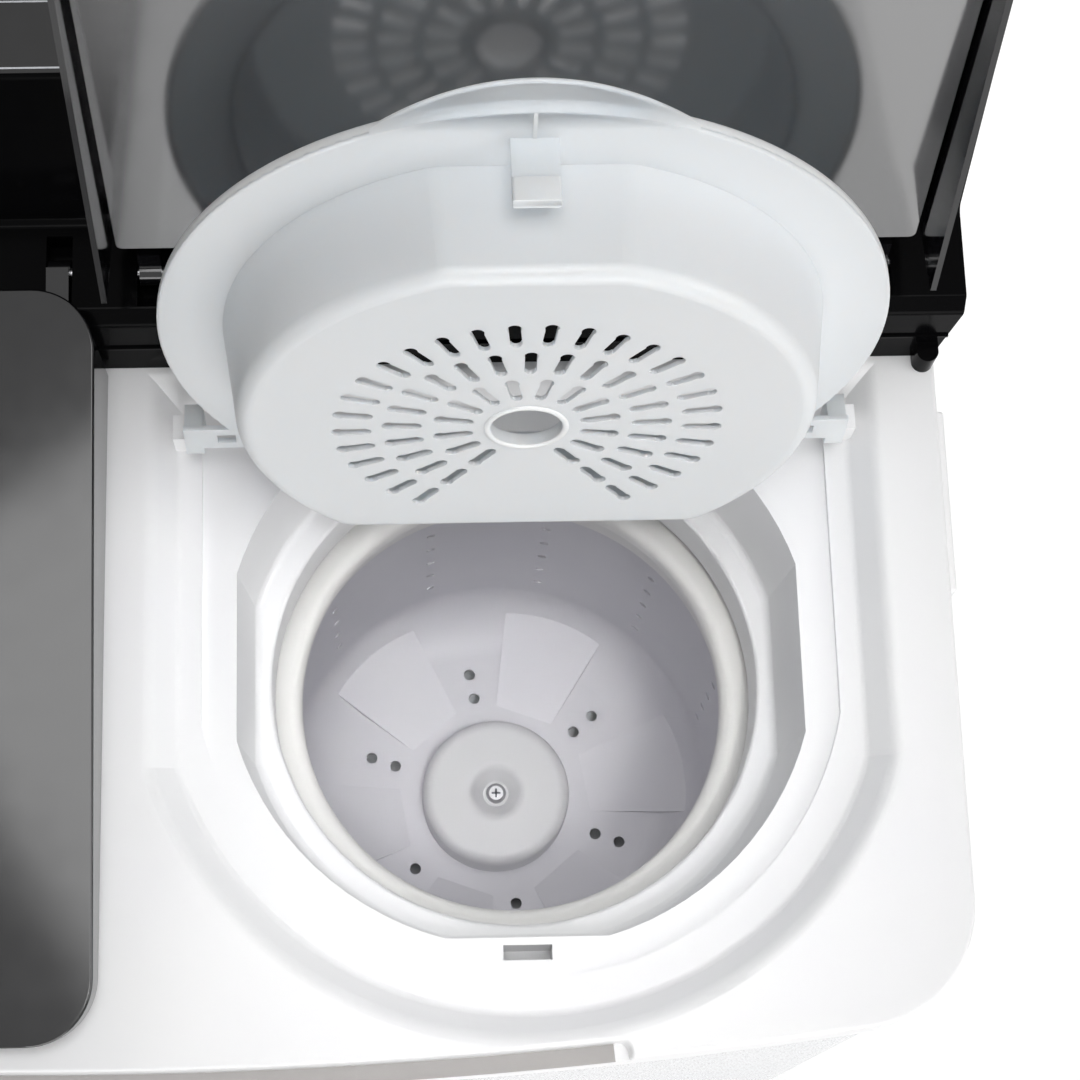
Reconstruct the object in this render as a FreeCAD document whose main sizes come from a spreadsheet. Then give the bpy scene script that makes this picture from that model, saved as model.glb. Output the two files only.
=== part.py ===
import FreeCAD, Part
import Sketcher
import math
import os
import re

os.makedirs("parts", exist_ok=True)
doc = FreeCAD.newDocument("twin_tub_washing_machine")
sheet = doc.addObject("Spreadsheet::Sheet", "Sizes")

# Driving sizes in millimetres and degrees.
# X runs to the right, Y to the rear, Z up; the origin is on the floor under the middle.
ROWS = [
    ("overall_depth", 532, "front of the bow to the rear of the console"),
    ("deck_width", 890, "width of the top deck"),
    ("deck_height", 850, "floor to the top of the deck"),
    ("deck_rear", 260, "rear edge of the deck behind the middle"),
    ("bow_radius", 3000, "bow of the front in plan"),
    ("corner_radius", 66, "front corners in plan"),
    ("deck_wall", 3, "moulded wall of the deck"),
    ("deck_skirt", 38, "height of the deck skirt"),
    ("deck_round", 2.5, "rounding of the deck's top edge"),
    ("fit_gap", 0.5, "gap between a skirt and the wall inside it"),
    ("hole_play", 0.3, "radial play of a fixed spout or gland in the cabinet"),
    ("shell_wall", 3, "cabinet and base wall"),
    ("foot_height", 25, "height of the feet"),
    ("foot_radius", 24, "radius of a foot"),
    ("foot_stud", 5, "radius of a foot's stud"),
    ("foot_x", 370, "feet from the middle, sideways"),
    ("foot_front", 170, "front feet from the middle"),
    ("foot_rear", 200, "rear feet from the middle"),
    ("base_height", 50, "height of the base tray"),
    ("base_floor", 4, "floor of the base tray"),
    ("grip_half", 261, "half width of the front finger recess"),
    ("grip_depth", 10, "depth of the front finger recess"),
    ("grip_drop", 18, "drop of the front finger recess"),
    ("grip_round", 6, "rounding of the finger recess's ends"),
    ("handle_length", 104, "side handle length"),
    ("handle_height", 26, "side handle height"),
    ("handle_bulge", 5, "side handle stand-off"),
    ("handle_y", 45, "side handle centre behind the middle"),
    ("handle_round", 2, "rounding of a side handle"),
    ("cover_half", 400, "half width of the rear cover"),
    ("cover_low", 120, "bottom edge of the rear cover"),
    ("cover_high", 700, "top edge of the rear cover"),
    ("cover_lap", 18, "overlap of the rear cover on the cabinet"),
    ("cover_thick", 2, "sheet of the rear cover"),
    ("vent_width", 70, "length of a vent slot"),
    ("vent_height", 6, "height of a vent slot"),
    ("vent_pitch", 16, "pitch of the vent slots"),
    ("screw_head", 5, "radius of a screw head"),
    ("screw_rise", 2.4, "height of a screw head"),
    ("screw_core", 2, "radius of a screw shank"),
    ("console_width", 904, "width of the console"),
    ("console_front", 127, "foot of the console's front behind the middle"),
    ("console_lean", 4, "set-back of the console's front wall"),
    ("console_wall", 3, "wall of the console"),
    ("console_flare", 8, "console ends widen by this from foot to ledge"),
    ("ledge_height", 60, "height of the console's ledge over the deck"),
    ("ledge_bevel", 8, "bevel at the front of the ledge, in depth"),
    ("ledge_chamfer", 6, "bevel at the front of the ledge, in height"),
    ("console_round", 4, "rounding of the console's long edges"),
    ("tower_round", 6, "rounding at the foot of the tower"),
    ("lug_width", 12, "width of the lugs at the console's front corners"),
    ("lug_reach", 10, "reach of those lugs in front of the console"),
    ("lug_height", 18, "height of those lugs"),
    ("ridge_height", 27, "height of the ridge line over the deck"),
    ("ridge_size", 1.2, "stand-off of the ridge line"),
    ("tower_foot", 190, "foot of the control tower behind the middle"),
    ("tower_brow", 224, "front of the tower's top behind the middle"),
    ("tower_brow_height", 164, "height of the tower's front edge over the deck"),
    ("console_height", 170, "height of the console over the deck"),
    ("panel_length", 760, "length of the control panel"),
    ("panel_depth", 40, "depth of the control panel"),
    ("panel_thick", 2, "thickness of the control panel"),
    ("knob_radius", 17, "radius of a knob"),
    ("knob_height", 19, "height of a knob"),
    ("knob_stem", 3, "radius of a knob's stem"),
    ("knob_gap", 0.6, "gap under a knob"),
    ("stem_length", 16, "reach of a stem below the panel face"),
    ("stem_play", 0.05, "radial play of a stem"),
    ("wash_timer_x", -330, "wash timer knob"),
    ("selector_x", -130, "drain selector knob"),
    ("spin_timer_x", 210, "spin timer knob"),
    ("timer_width", 50, "width of a timer"),
    ("timer_depth", 24, "depth of a timer"),
    ("timer_height", 36, "height of a timer"),
    ("spin_x", 210, "spin tub axis, sideways"),
    ("spin_y", -34, "spin tub axis, from the middle"),
    ("seat_drop", 15, "depth of the inner lid's seat"),
    ("recess_radius", 209, "soft edge of the spin recess"),
    ("recess_half", 199, "soft edge of the spin recess at the sides"),
    ("recess_run", 13, "run of the recess slope"),
    ("recess_rear", 120, "rear end of the recess"),
    ("step_radius", 177, "crisp edge inside the seat"),
    ("step_half", 173, "crisp edge inside the seat at the sides"),
    ("step_drop", 4, "drop at the crisp edge"),
    ("step_rear", 122, "rear end of the crisp edge behind the spin axis"),
    ("recess_round", 10, "rounding of the recess's edge"),
    ("recess_foot_round", 5, "rounding at the foot of the recess's slope"),
    ("collar_round", 2.5, "rounding of the collar's edge"),
    ("funnel_round", 5, "rounding at the foot of the funnel"),
    ("rim_round", 2, "rounding around the wash opening"),
    ("funnel_radius", 161, "mouth of the funnel"),
    ("funnel_half", 154, "mouth of the funnel at the sides"),
    ("funnel_flat", 155, "flat front of the funnel mouth"),
    ("funnel_draft", 6, "funnel narrows by this to its foot"),
    ("collar_drop", 92, "depth of the collar's edge under the deck"),
    ("collar_radius", 139, "radius of the collar"),
    ("collar_foot", 128, "depth of the collar's lower end"),
    ("slot_width", 26, "hook slot width"),
    ("slot_depth", 8, "hook slot depth"),
    ("slot_reach", 163, "hook slot in front of the spin axis"),
    ("inner_reach", 124, "inner lid hinge behind the spin axis"),
    ("inner_open", 100.7, "inner lid rest angle from closed"),
    ("inner_ear", 180, "inner lid ears from the spin axis"),
    ("ear_width", 10, "width of an ear"),
    ("ear_gap", 0.6, "side gap at an ear"),
    ("post_width", 7, "width of a hinge post"),
    ("post_half", 7, "half depth of a hinge post"),
    ("post_rise", 6, "rise of a hinge post over the hinge axis"),
    ("inner_pin", 2.5, "radius of an inner lid pin"),
    ("pin_play", 0.05, "radial play on a pin"),
    ("flange_radius", 184, "inner lid flange"),
    ("flange_drop", 14.6, "flange underside below the hinge axis"),
    ("flange_thick", 3, "thickness of the flange"),
    ("dish_radius", 151, "dish of the inner lid at the flange"),
    ("dish_draft", 8, "dish narrows by this to its bottom"),
    ("dish_depth", 56, "depth of the dish"),
    ("dish_front", 144, "flat front of the dish"),
    ("dish_front_draft", 7, "flat front of the dish narrows by this to its bottom"),
    ("dish_rear", 113, "flat rear of the dish"),
    ("dish_corner", 20, "rounding between the flats and the cone of the dish"),
    ("dish_round", 8, "rounding at the bottom of the dish"),
    ("flange_round", 1.2, "rounding of the flange's edge"),
    ("dish_wall", 2.5, "wall of the dish"),
    ("eye_radius", 18, "hole in the middle of the dish"),
    ("eye_collar", 3, "collar around that hole"),
    ("grille_slots", 28, "slots around the outer ring of the grille"),
    ("grille_outer", 97, "outer end of the outer slots"),
    ("grille_length", 20, "length of a slot"),
    ("grille_width", 7, "width of a slot"),
    ("grille_pitch", 25, "pitch of the slot rings"),
    ("lip_half", 74, "half width of the inner lid's lifting lip"),
    ("lip_height", 13.5, "rise of the lifting lip"),
    ("lip_reach", 6.5, "forward reach of the lifting lip"),
    ("lip_thick", 3, "thickness of the lifting lip"),
    ("rail_slot_x", 157, "slots in the rear rail from the inner lid's middle"),
    ("hook_width", 22, "width of the hook"),
    ("hook_thick", 4, "thickness of the hook"),
    ("hook_length", 34, "length of the hook"),
    ("lid_hinge_y", 162, "outer lid hinge behind the middle"),
    ("lid_hinge_rise", 54, "outer lid hinge over the deck"),
    ("lid_open", 107, "outer lid angle from closed to open"),
    ("lid_slope", 7, "fall of a closed lid to the front"),
    ("lid_front", 246, "front edge of a closed lid before the middle"),
    ("lid_back", 12, "rear edge of the lid panel in front of its hinge"),
    ("lid_crown", 12, "lid panel underside over the hinge axis"),
    ("lid_thick", 3, "wall of a lid"),
    ("lid_corner", 34, "corner radius of a lid"),
    ("lid_gap", 1.5, "gap under a closed lid"),
    ("spin_lid_half", 215, "half width of the spin lid"),
    ("wash_lid_half", 208, "half width of the wash lid"),
    ("arm_offset", 20, "hinge arm centre from the lid's side"),
    ("arm_width", 12, "width of a hinge arm"),
    ("arm_reach", 16, "reach of a hinge arm"),
    ("arm_radius", 7, "barrel of a hinge arm"),
    ("arm_gap", 1, "side gap at a hinge arm"),
    ("lid_pin", 3, "radius of an outer lid pin"),
    ("lid_pin_length", 40, "length of an outer lid pin"),
    ("block_half", 26, "half width of a hinge block"),
    ("block_drop", 22, "height of a hinge block"),
    ("wash_x", -222, "wash tub axis, sideways"),
    ("wash_y", -52, "wash tub axis, from the middle"),
    ("wash_half_x", 176, "half width of the wash opening"),
    ("wash_half_y", 153, "half depth of the wash opening"),
    ("wash_corner", 74, "corner radius of the wash opening"),
    ("wash_rim", 12, "width of the step around the wash opening"),
    ("wash_rim_drop", 6, "drop of the step around the wash opening"),
    ("tub_wall", 2.5, "wall of the wash tub"),
    ("tub_set_back", 2, "tub wall behind the opening's edge"),
    ("tub_floor", 440, "underside of the wash tub"),
    ("tub_floor_thick", 4, "floor of the wash tub"),
    ("tub_round", 40, "rounding at the tub's foot"),
    ("tub_flange", 12, "flange of the wash tub under the deck"),
    ("pulsator_radius", 132, "radius of the pulsator"),
    ("pulsator_gap", 6, "pulsator above the tub floor"),
    ("pulsator_thick", 7, "rim of the pulsator"),
    ("pulsator_hub", 34, "height of the pulsator's hub"),
    ("vane_count", 6, "vanes of the pulsator"),
    ("wash_shaft", 8, "radius of the wash shaft"),
    ("shaft_play", 0.05, "radial play of a running shaft"),
    ("housing_radius", 24, "barrel of the wash bearing housing"),
    ("housing_flange", 62, "flange of the wash bearing housing"),
    ("housing_thick", 6, "flange thickness of the wash bearing housing"),
    ("housing_length", 100, "length of the wash bearing housing"),
    ("pulley_radius", 90, "large pulley"),
    ("motor_pulley_radius", 22, "small pulley"),
    ("pulley_height", 20, "height of the pulleys"),
    ("groove_depth", 6, "depth of a pulley groove"),
    ("belt_height", 9, "height of the belt"),
    ("belt_thick", 5, "thickness of the belt"),
    ("belt_gap", 0.3, "belt to pulley clearance"),
    ("wash_motor_dx", 152, "wash motor from the wash axis, sideways"),
    ("wash_motor_dy", 142, "wash motor from the wash axis, to the rear"),
    ("wash_motor_radius", 60, "wash motor body"),
    ("wash_motor_height", 92, "wash motor height"),
    ("motor_shaft", 6, "radius of the wash motor's shaft"),
    ("bracket_thick", 4, "plate of the wash motor bracket"),
    ("outer_tub_radius", 168, "inside of the spin outer tub"),
    ("outer_tub_wall", 3, "wall of the spin outer tub"),
    ("outer_tub_drop", 508, "inside floor of the spin outer tub under the deck"),
    ("basket_radius", 151, "outside of the spin basket"),
    ("basket_wall", 3, "wall of the spin basket"),
    ("basket_drop", 480, "inside floor of the spin basket under the deck"),
    ("basket_rim_drop", 144, "rim of the spin basket under the deck"),
    ("basket_holes", 12, "columns of holes in the basket wall"),
    ("basket_rows", 6, "rows of holes in the basket wall"),
    ("wall_hole", 3, "radius of a hole in the basket wall"),
    ("floor_hole", 4, "radius of a hole in the basket floor"),
    ("hole_inner", 76, "inner floor holes from the axis"),
    ("hole_outer", 94, "outer floor holes from the axis"),
    ("hole_angle", 40, "angle of the first pair of floor holes"),
    ("ramp_count", 6, "raised ramps in the basket"),
    ("basket_round", 40, "rounding between the basket's floor and wall"),
    ("ramp_narrow", 42, "width of a ramp at its inner end"),
    ("ramp_wide", 80, "width of a ramp at the wall"),
    ("ramp_rise", 15, "height of a ramp at the wall"),
    ("ramp_inner", 66, "inner end of a ramp from the axis"),
    ("ring_lip", 124, "inner edge of the balance ring"),
    ("ring_drop", 138, "top of the balance ring under the deck"),
    ("ring_height", 54, "height of the balance ring"),
    ("ring_outer", 154, "outer edge of the balance ring"),
    ("ring_gap", 0.2, "balance ring to basket wall"),
    ("ring_round", 8, "rounding of the ring's inner edge"),
    ("cap_radius", 52, "cap in the basket"),
    ("cap_height", 35, "height of the cap"),
    ("cap_round", 8, "rounding of the cap's edge"),
    ("cap_dimple", 18, "dimple of the cap"),
    ("dimple_round", 8, "rounding of the dimple's edge"),
    ("spin_shaft", 9, "radius of the spin shaft"),
    ("hub_radius", 46, "flange of the basket hub"),
    ("hub_thick", 6, "flange thickness of the basket hub"),
    ("hub_sleeve", 17, "sleeve of the basket hub"),
    ("hub_length", 24, "length of the hub's sleeve under the floor"),
    ("seal_radius", 44, "outside of the shaft bellows"),
    ("bearing_radius", 26, "outside of the spin bearing"),
    ("bearing_length", 34, "length of the spin bearing"),
    ("drum_radius", 48, "brake drum"),
    ("drum_height", 30, "height of the brake drum"),
    ("spin_motor_radius", 62, "spin motor body"),
    ("spin_motor_height", 104, "spin motor height"),
    ("spin_motor_foot", 96, "underside of the spin motor over the floor"),
    ("plate_thick", 4, "plates of the spin motor"),
    ("plate_radius", 104, "reach of the spin motor plates"),
    ("spring_radius", 15, "motor spring outside"),
    ("spring_reach", 84, "motor springs from the spin axis"),
    ("brake_reach", 72, "brake lever pivot from the spin axis"),
    ("brake_pin", 4, "radius of the brake pivot"),
    ("lever_thick", 8, "thickness of the brake lever"),
    ("shoe_gap", 0.6, "brake shoe to drum"),
    ("drain_x", -306, "drain valve, sideways"),
    ("drain_y", 170, "drain valve, to the rear"),
    ("drain_foot", 330, "underside of the drain valve"),
    ("valve_radius", 26, "outside of the drain valve"),
    ("valve_height", 86, "height of the drain valve"),
    ("valve_wall", 3, "wall of the drain valve"),
    ("plunger_radius", 18, "drain plunger"),
    ("plunger_lift", 14, "lift of the drain plunger"),
    ("rod_radius", 3, "radius of the drain rod"),
    ("pipe_radius", 15, "outside of the drain pipes"),
    ("pipe_wall", 2, "wall of the drain pipes"),
    ("spin_drain_dx", 118, "spin drain from the spin axis, sideways"),
    ("spin_drain_dy", 60, "spin drain behind the spin axis"),
    ("wash_drain_reach", 84, "wash drain from the wash axis, sideways and to the rear"),
    ("outlet_height", 150, "drain outlet over the floor"),
    ("outlet_radius", 14, "outside of the drain outlet"),
    ("outlet_length", 10, "drain outlet past the cabinet"),
    ("outlet_flange", 1.5, "thickness of the drain outlet's flange"),
    ("outlet_lip", 18, "radius of the drain outlet's flange"),
    ("outlet_neck", 13.5, "outside of the drain outlet inside the cabinet"),
    ("inlet_radius", 13.2, "outside of the water inlet"),
    ("inlet_length", 16, "water inlet above its flange"),
    ("inlet_x", -418, "water inlet, sideways"),
    ("inlet_bore", 9, "bore of the water inlet"),
    ("filter_width", 92, "lint filter width"),
    ("filter_height", 130, "lint filter height"),
    ("filter_depth", 18, "lint filter depth"),
    ("filter_low", 590, "lower edge of the lint filter"),
    ("filter_play", 0.5, "play of the lint filter in its rails"),
    ("rail_thick", 4, "rails of the lint filter"),
    ("gland_radius", 9, "cord gland"),
    ("gland_height", 760, "cord gland over the floor"),
    ("gland_x", 380, "cord gland, sideways"),
    ("capacitor_radius", 20, "capacitor"),
    ("capacitor_height", 84, "capacitor height"),
    ("capacitor_x", 330, "capacitor, sideways"),
    ("capacitor_y", 150, "capacitor, to the rear"),
]

for index, row in enumerate(ROWS, start=1):
    sheet.set("A%d" % index, row[0])
    sheet.set("B%d" % index, str(row[1]))
    sheet.set("C%d" % index, row[2])
    sheet.setAlias("B%d" % index, row[0])
doc.recompute()

NAMES = set(row[0] for row in ROWS)
WORD = re.compile(r"[a-z][a-z0-9_]*")
NODES = []
COUNT = {}
UP = FreeCAD.Vector(0, 0, 1)
ALONG_X = FreeCAD.Vector(1, 0, 0)
ALONG_Y = FreeCAD.Vector(0, 1, 0)


def bound(formula):
    """Writes a formula over size names as an expression on the sheet."""
    return WORD.sub(lambda m: "Sizes." + m.group(0) if m.group(0) in NAMES else m.group(0), str(formula))


def num(formula):
    """Gives the present value of a formula over size names."""
    return float(sheet.evalExpression(bound(formula)))


def fresh(kind, stem):
    """Adds an object with a name of its own."""
    COUNT[stem] = COUNT.get(stem, 0) + 1
    return doc.addObject(kind, "%s_%d" % (stem, COUNT[stem]))


def tie(obj, **formulas):
    """Binds properties to formulas over size names."""
    for name, formula in formulas.items():
        obj.setExpression(name, bound(formula))
    return obj


def place(obj, x, y, z):
    """Binds the place of an object."""
    obj.setExpression("Placement.Base.x", bound(x))
    obj.setExpression("Placement.Base.y", bound(y))
    obj.setExpression("Placement.Base.z", bound(z))
    return obj


def turn(obj, axis, angle):
    """Turns an object about an axis through its own origin by a bound angle."""
    obj.Placement = FreeCAD.Placement(obj.Placement.Base, FreeCAD.Rotation(axis, 10))
    obj.setExpression("Placement.Rotation.Angle", bound(angle))
    return obj


def box(x0, x1, y0, y1, z0, z1):
    """A block between pairs of planes."""
    obj = fresh("Part::Box", "block")
    tie(obj, Length="(%s) - (%s)" % (x1, x0), Width="(%s) - (%s)" % (y1, y0), Height="(%s) - (%s)" % (z1, z0))
    return place(obj, x0, y0, z0)


def rod(x, y, z, radius, length, axis="Z"):
    """A cylinder from a point along an axis."""
    obj = fresh("Part::Cylinder", "rod")
    if axis == "X":
        obj.Placement = FreeCAD.Placement(FreeCAD.Vector(), FreeCAD.Rotation(ALONG_Y, 90))
    if axis == "Y":
        obj.Placement = FreeCAD.Placement(FreeCAD.Vector(), FreeCAD.Rotation(ALONG_X, -90))
    tie(obj, Radius=radius, Height=length)
    return place(obj, x, y, z)


def cone(x, y, z, low, high, height):
    """An upright cone frustum."""
    obj = fresh("Part::Cone", "cone")
    tie(obj, Radius1=low, Radius2=high, Height=height)
    return place(obj, x, y, z)


def wedge(x, y, z, half_low, half_high, front_low, front_high, rear_low, rear_high, height):
    """An upright tapered block about a point; front and rear are measured from that point."""
    obj = fresh("Part::Wedge", "wedge")
    obj.Placement = FreeCAD.Placement(FreeCAD.Vector(), FreeCAD.Rotation(ALONG_X, 90))
    tie(obj, Xmin="-(%s)" % half_low, Xmax=half_low, X2min="-(%s)" % half_high, X2max=half_high)
    tie(obj, Zmin="-(%s)" % rear_low, Zmax=front_low, Z2min="-(%s)" % rear_high, Z2max=front_high)
    tie(obj, Ymin="0", Ymax=height)
    return place(obj, x, y, z)


def fuse(*solids):
    """One solid of several."""
    obj = fresh("Part::MultiFuse", "union")
    obj.Shapes = list(solids)
    obj.Refine = True
    return obj


def cut(base, *tools):
    """A solid less the tools."""
    obj = fresh("Part::Cut", "cut")
    obj.Base = base
    obj.Tool = tools[0] if len(tools) == 1 else fuse(*tools)
    obj.Refine = True
    return obj


def common(one, other):
    """What two solids share."""
    obj = fresh("Part::Common", "shared")
    obj.Base = one
    obj.Tool = other
    obj.Refine = True
    return obj


def group(*solids):
    """Separate solids that make up one named piece."""
    obj = fresh("Part::Compound", "group")
    obj.Links = list(solids)
    return obj


def node(name, obj):
    """Names a finished piece."""
    obj.Label = name
    NODES.append(obj)
    return obj


def constrain(sketch, kind, *args):
    """Adds one constraint and gives its index."""
    return sketch.addConstraint(Sketcher.Constraint(kind, *args))


def dimension(sketch, formula, kind, *args):
    """Adds a dimension that is bound to a formula."""
    index = constrain(sketch, kind, *args, num(formula))
    sketch.setExpression("Constraints[%d]" % index, bound(formula))


def plate_sketch(x0, x1, y0, y1, radius, z):
    """A rectangle with round corners, lying flat at height z."""
    width = "(%s) - (%s)" % (x1, x0)
    depth = "(%s) - (%s)" % (y1, y0)
    w, d, r = num(width), num(depth), num(radius)
    vec = FreeCAD.Vector
    sketch = fresh("Sketcher::SketchObject", "outline")
    for a, b in ((vec(r, 0, 0), vec(w - r, 0, 0)), (vec(w, r, 0), vec(w, d - r, 0)),
                 (vec(w - r, d, 0), vec(r, d, 0)), (vec(0, d - r, 0), vec(0, r, 0))):
        sketch.addGeometry(Part.LineSegment(a, b))
    for centre, start in ((vec(w - r, r, 0), 270), (vec(w - r, d - r, 0), 0),
                          (vec(r, d - r, 0), 90), (vec(r, r, 0), 180)):
        circle = Part.Circle(centre, UP, r)
        sketch.addGeometry(Part.ArcOfCircle(circle, math.radians(start), math.radians(start + 90)))
    for side in range(4):
        constrain(sketch, "Tangent", side, 2, 4 + side, 1)
        constrain(sketch, "Tangent", 4 + side, 2, (side + 1) % 4, 1)
    for side, kind in enumerate(("Horizontal", "Vertical", "Horizontal", "Vertical")):
        constrain(sketch, kind, side)
    for corner in (5, 6, 7):
        constrain(sketch, "Equal", 4, corner)
    constrain(sketch, "PointOnObject", 0, 1, -1)
    constrain(sketch, "PointOnObject", 3, 1, -2)
    dimension(sketch, radius, "Radius", 4)
    dimension(sketch, width, "DistanceX", -1, 1, 1, 1)
    dimension(sketch, depth, "DistanceY", -1, 1, 2, 1)
    return place(sketch, x0, y0, z)


def lift(base, height):
    """Raises a flat outline into a solid."""
    obj = fresh("Part::Extrusion", "prism")
    obj.Base = base
    obj.DirMode = "Custom"
    obj.Dir = UP
    obj.Solid = True
    tie(obj, LengthFwd=height)
    return obj


def slab(x0, x1, y0, y1, radius, z0, z1):
    """An upright block with round corners in plan."""
    return lift(plate_sketch(x0, x1, y0, y1, radius, z0), "(%s) - (%s)" % (z1, z0))


def polygon(sketch, points):
    """Draws a closed polygon of bound points; no point has a negative coordinate."""
    spots = [FreeCAD.Vector(num(u), num(v), 0) for u, v in points]
    count = len(points)
    for i in range(count):
        sketch.addGeometry(Part.LineSegment(spots[i], spots[(i + 1) % count]))
    for i in range(count):
        constrain(sketch, "Coincident", i, 2, (i + 1) % count, 1)
    for i, (u, v) in enumerate(points):
        if str(u) == "0":
            constrain(sketch, "PointOnObject", i, 1, -2)
        else:
            dimension(sketch, u, "DistanceX", -1, 1, i, 1)
        if str(v) == "0":
            constrain(sketch, "PointOnObject", i, 1, -1)
        else:
            dimension(sketch, v, "DistanceY", -1, 1, i, 1)


def profile_x(points, x0, x1, y, z):
    """A side profile of (depth, height) points from (y, z), drawn out along X."""
    sketch = fresh("Sketcher::SketchObject", "profile")
    polygon(sketch, points)
    sketch.Placement = FreeCAD.Placement(FreeCAD.Vector(), FreeCAD.Rotation(FreeCAD.Vector(1, 1, 1), 120))
    place(sketch, x0, y, z)
    obj = fresh("Part::Extrusion", "prism")
    obj.Base = sketch
    obj.DirMode = "Custom"
    obj.Dir = ALONG_X
    obj.Solid = True
    return tie(obj, LengthFwd="(%s) - (%s)" % (x1, x0))


def turned(points, x, y, z):
    """A turned body about an upright axis, from (radius, height) points."""
    COUNT["turned"] = COUNT.get("turned", 0) + 1
    tag = COUNT["turned"]
    body = doc.addObject("PartDesign::Body", "turned_%d" % tag)
    sketch = body.newObject("Sketcher::SketchObject", "turned_profile_%d" % tag)
    plane = [f for f in body.Origin.OriginFeatures if f.Role == "XZ_Plane"][0]
    sketch.AttachmentSupport = [(plane, "")]
    sketch.MapMode = "FlatFace"
    polygon(sketch, points)
    spin = body.newObject("PartDesign::Revolution", "turned_solid_%d" % tag)
    spin.Profile = sketch
    spin.ReferenceAxis = (sketch, ["V_Axis"])
    spin.Angle = 360
    return place(body, x, y, z)


def rounded(base, radius, pick):
    """Rounds the edges of a solid that pick chooses."""
    doc.recompute()
    size = num(radius)
    obj = fresh("Part::Fillet", "round")
    obj.Base = base
    obj.Edges = [(i, size, size) for i, edge in enumerate(base.Shape.Edges, start=1) if pick(edge)]
    return obj


def flat_at(height):
    """Picks edges that lie in a level plane."""
    level = num(height)
    return lambda edge: max(abs(edge.BoundBox.ZMin - level), abs(edge.BoundBox.ZMax - level)) < 0.02


def round_at(height, radius):
    """Picks round edges of one radius that lie in a level plane."""
    level = flat_at(height)
    size = num(radius)
    return lambda edge: level(edge) and abs(getattr(edge.Curve, "Radius", 0) - size) < 0.02


def run_at(*spots):
    """Picks long edges along X at places in the side view, given as (depth, height)."""
    places = [(num(y), num(z)) for y, z in spots]

    def pick(edge):
        bounds = edge.BoundBox
        away = [max(abs(bounds.YMin - y), abs(bounds.YMax - y), abs(bounds.ZMin - z), abs(bounds.ZMax - z))
                for y, z in places]
        return bounds.XMax - bounds.XMin > 100 and min(away) < 0.05

    return pick


def well_edge(height, radius, half, cross):
    """Picks the level edges round the spin well: an arc, its straight sides and a cross line."""
    level = flat_at(height)
    bend = num(radius)
    sides = (num("spin_x - (%s)" % half), num("spin_x + %s" % half))
    line = num(cross)

    def pick(edge):
        bounds = edge.BoundBox
        if not level(edge):
            return False
        if hasattr(edge.Curve, "Radius"):
            return abs(edge.Curve.Radius - bend) < 0.02
        if bounds.XMax - bounds.XMin < 0.02:
            return min(abs(bounds.XMin - side) for side in sides) < 0.02
        return abs(bounds.YMin - line) < 0.02 and abs(bounds.YMax - line) < 0.02

    return pick


# Plan outline: a bowed front with two round corners, straight sides and a straight rear.
plan = doc.addObject("Sketcher::SketchObject", "plan_outline")
bow_y = num("bow_radius - overall_depth / 2")
bow_r = num("bow_radius")
turn_r = num("corner_radius")
side_x = num("deck_width / 2")
rear_y = num("deck_rear")
turn_x = side_x - turn_r
turn_y = bow_y - math.sqrt((bow_r - turn_r) ** 2 - turn_x ** 2)
lean = math.atan2(turn_x, bow_y - turn_y)
bow = Part.Circle(FreeCAD.Vector(0, bow_y, 0), UP, bow_r)
right_turn = Part.Circle(FreeCAD.Vector(turn_x, turn_y, 0), UP, turn_r)
left_turn = Part.Circle(FreeCAD.Vector(-turn_x, turn_y, 0), UP, turn_r)
low = -math.pi / 2
plan.addGeometry(Part.ArcOfCircle(bow, low - lean, low + lean))
plan.addGeometry(Part.ArcOfCircle(right_turn, low + lean, 0))
plan.addGeometry(Part.LineSegment(FreeCAD.Vector(side_x, turn_y, 0), FreeCAD.Vector(side_x, rear_y, 0)))
plan.addGeometry(Part.LineSegment(FreeCAD.Vector(side_x, rear_y, 0), FreeCAD.Vector(-side_x, rear_y, 0)))
plan.addGeometry(Part.LineSegment(FreeCAD.Vector(-side_x, rear_y, 0), FreeCAD.Vector(-side_x, turn_y, 0)))
plan.addGeometry(Part.ArcOfCircle(left_turn, -math.pi, low - lean))
constrain(plan, "Tangent", 0, 2, 1, 1)
constrain(plan, "Tangent", 1, 2, 2, 1)
constrain(plan, "Coincident", 2, 2, 3, 1)
constrain(plan, "Coincident", 3, 2, 4, 1)
constrain(plan, "Tangent", 4, 2, 5, 1)
constrain(plan, "Tangent", 5, 2, 0, 1)
constrain(plan, "Vertical", 2)
constrain(plan, "Vertical", 4)
constrain(plan, "Equal", 1, 5)
constrain(plan, "Symmetric", 3, 1, 3, 2, -2)
constrain(plan, "PointOnObject", 0, 3, -2)
dimension(plan, "bow_radius", "Radius", 0)
dimension(plan, "corner_radius", "Radius", 1)
dimension(plan, "bow_radius - overall_depth / 2", "DistanceY", -1, 1, 0, 3)
dimension(plan, "deck_width / 2", "DistanceX", -1, 1, 2, 2)
dimension(plan, "deck_rear", "DistanceY", -1, 1, 3, 1)
doc.recompute()


def footprint(inset, z0, z1):
    """The plan outline, drawn in by an inset and raised between two heights."""
    base = plan
    if str(inset) != "0":
        base = fresh("Part::Offset2D", "inset")
        base.Source = plan
        base.Join = "Intersection"
        tie(base, Value="-(%s)" % inset)
    solid = lift(base, "(%s) - (%s)" % (z1, z0))
    solid.setExpression("Placement.Base.z", bound(z0))
    return solid


BASE_TOP = "foot_height + base_height"
UNDER_DECK = "deck_height - deck_wall"
SHELL_INSET = "deck_wall + fit_gap"
REAR_FACE = "deck_rear - deck_wall - fit_gap"

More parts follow.
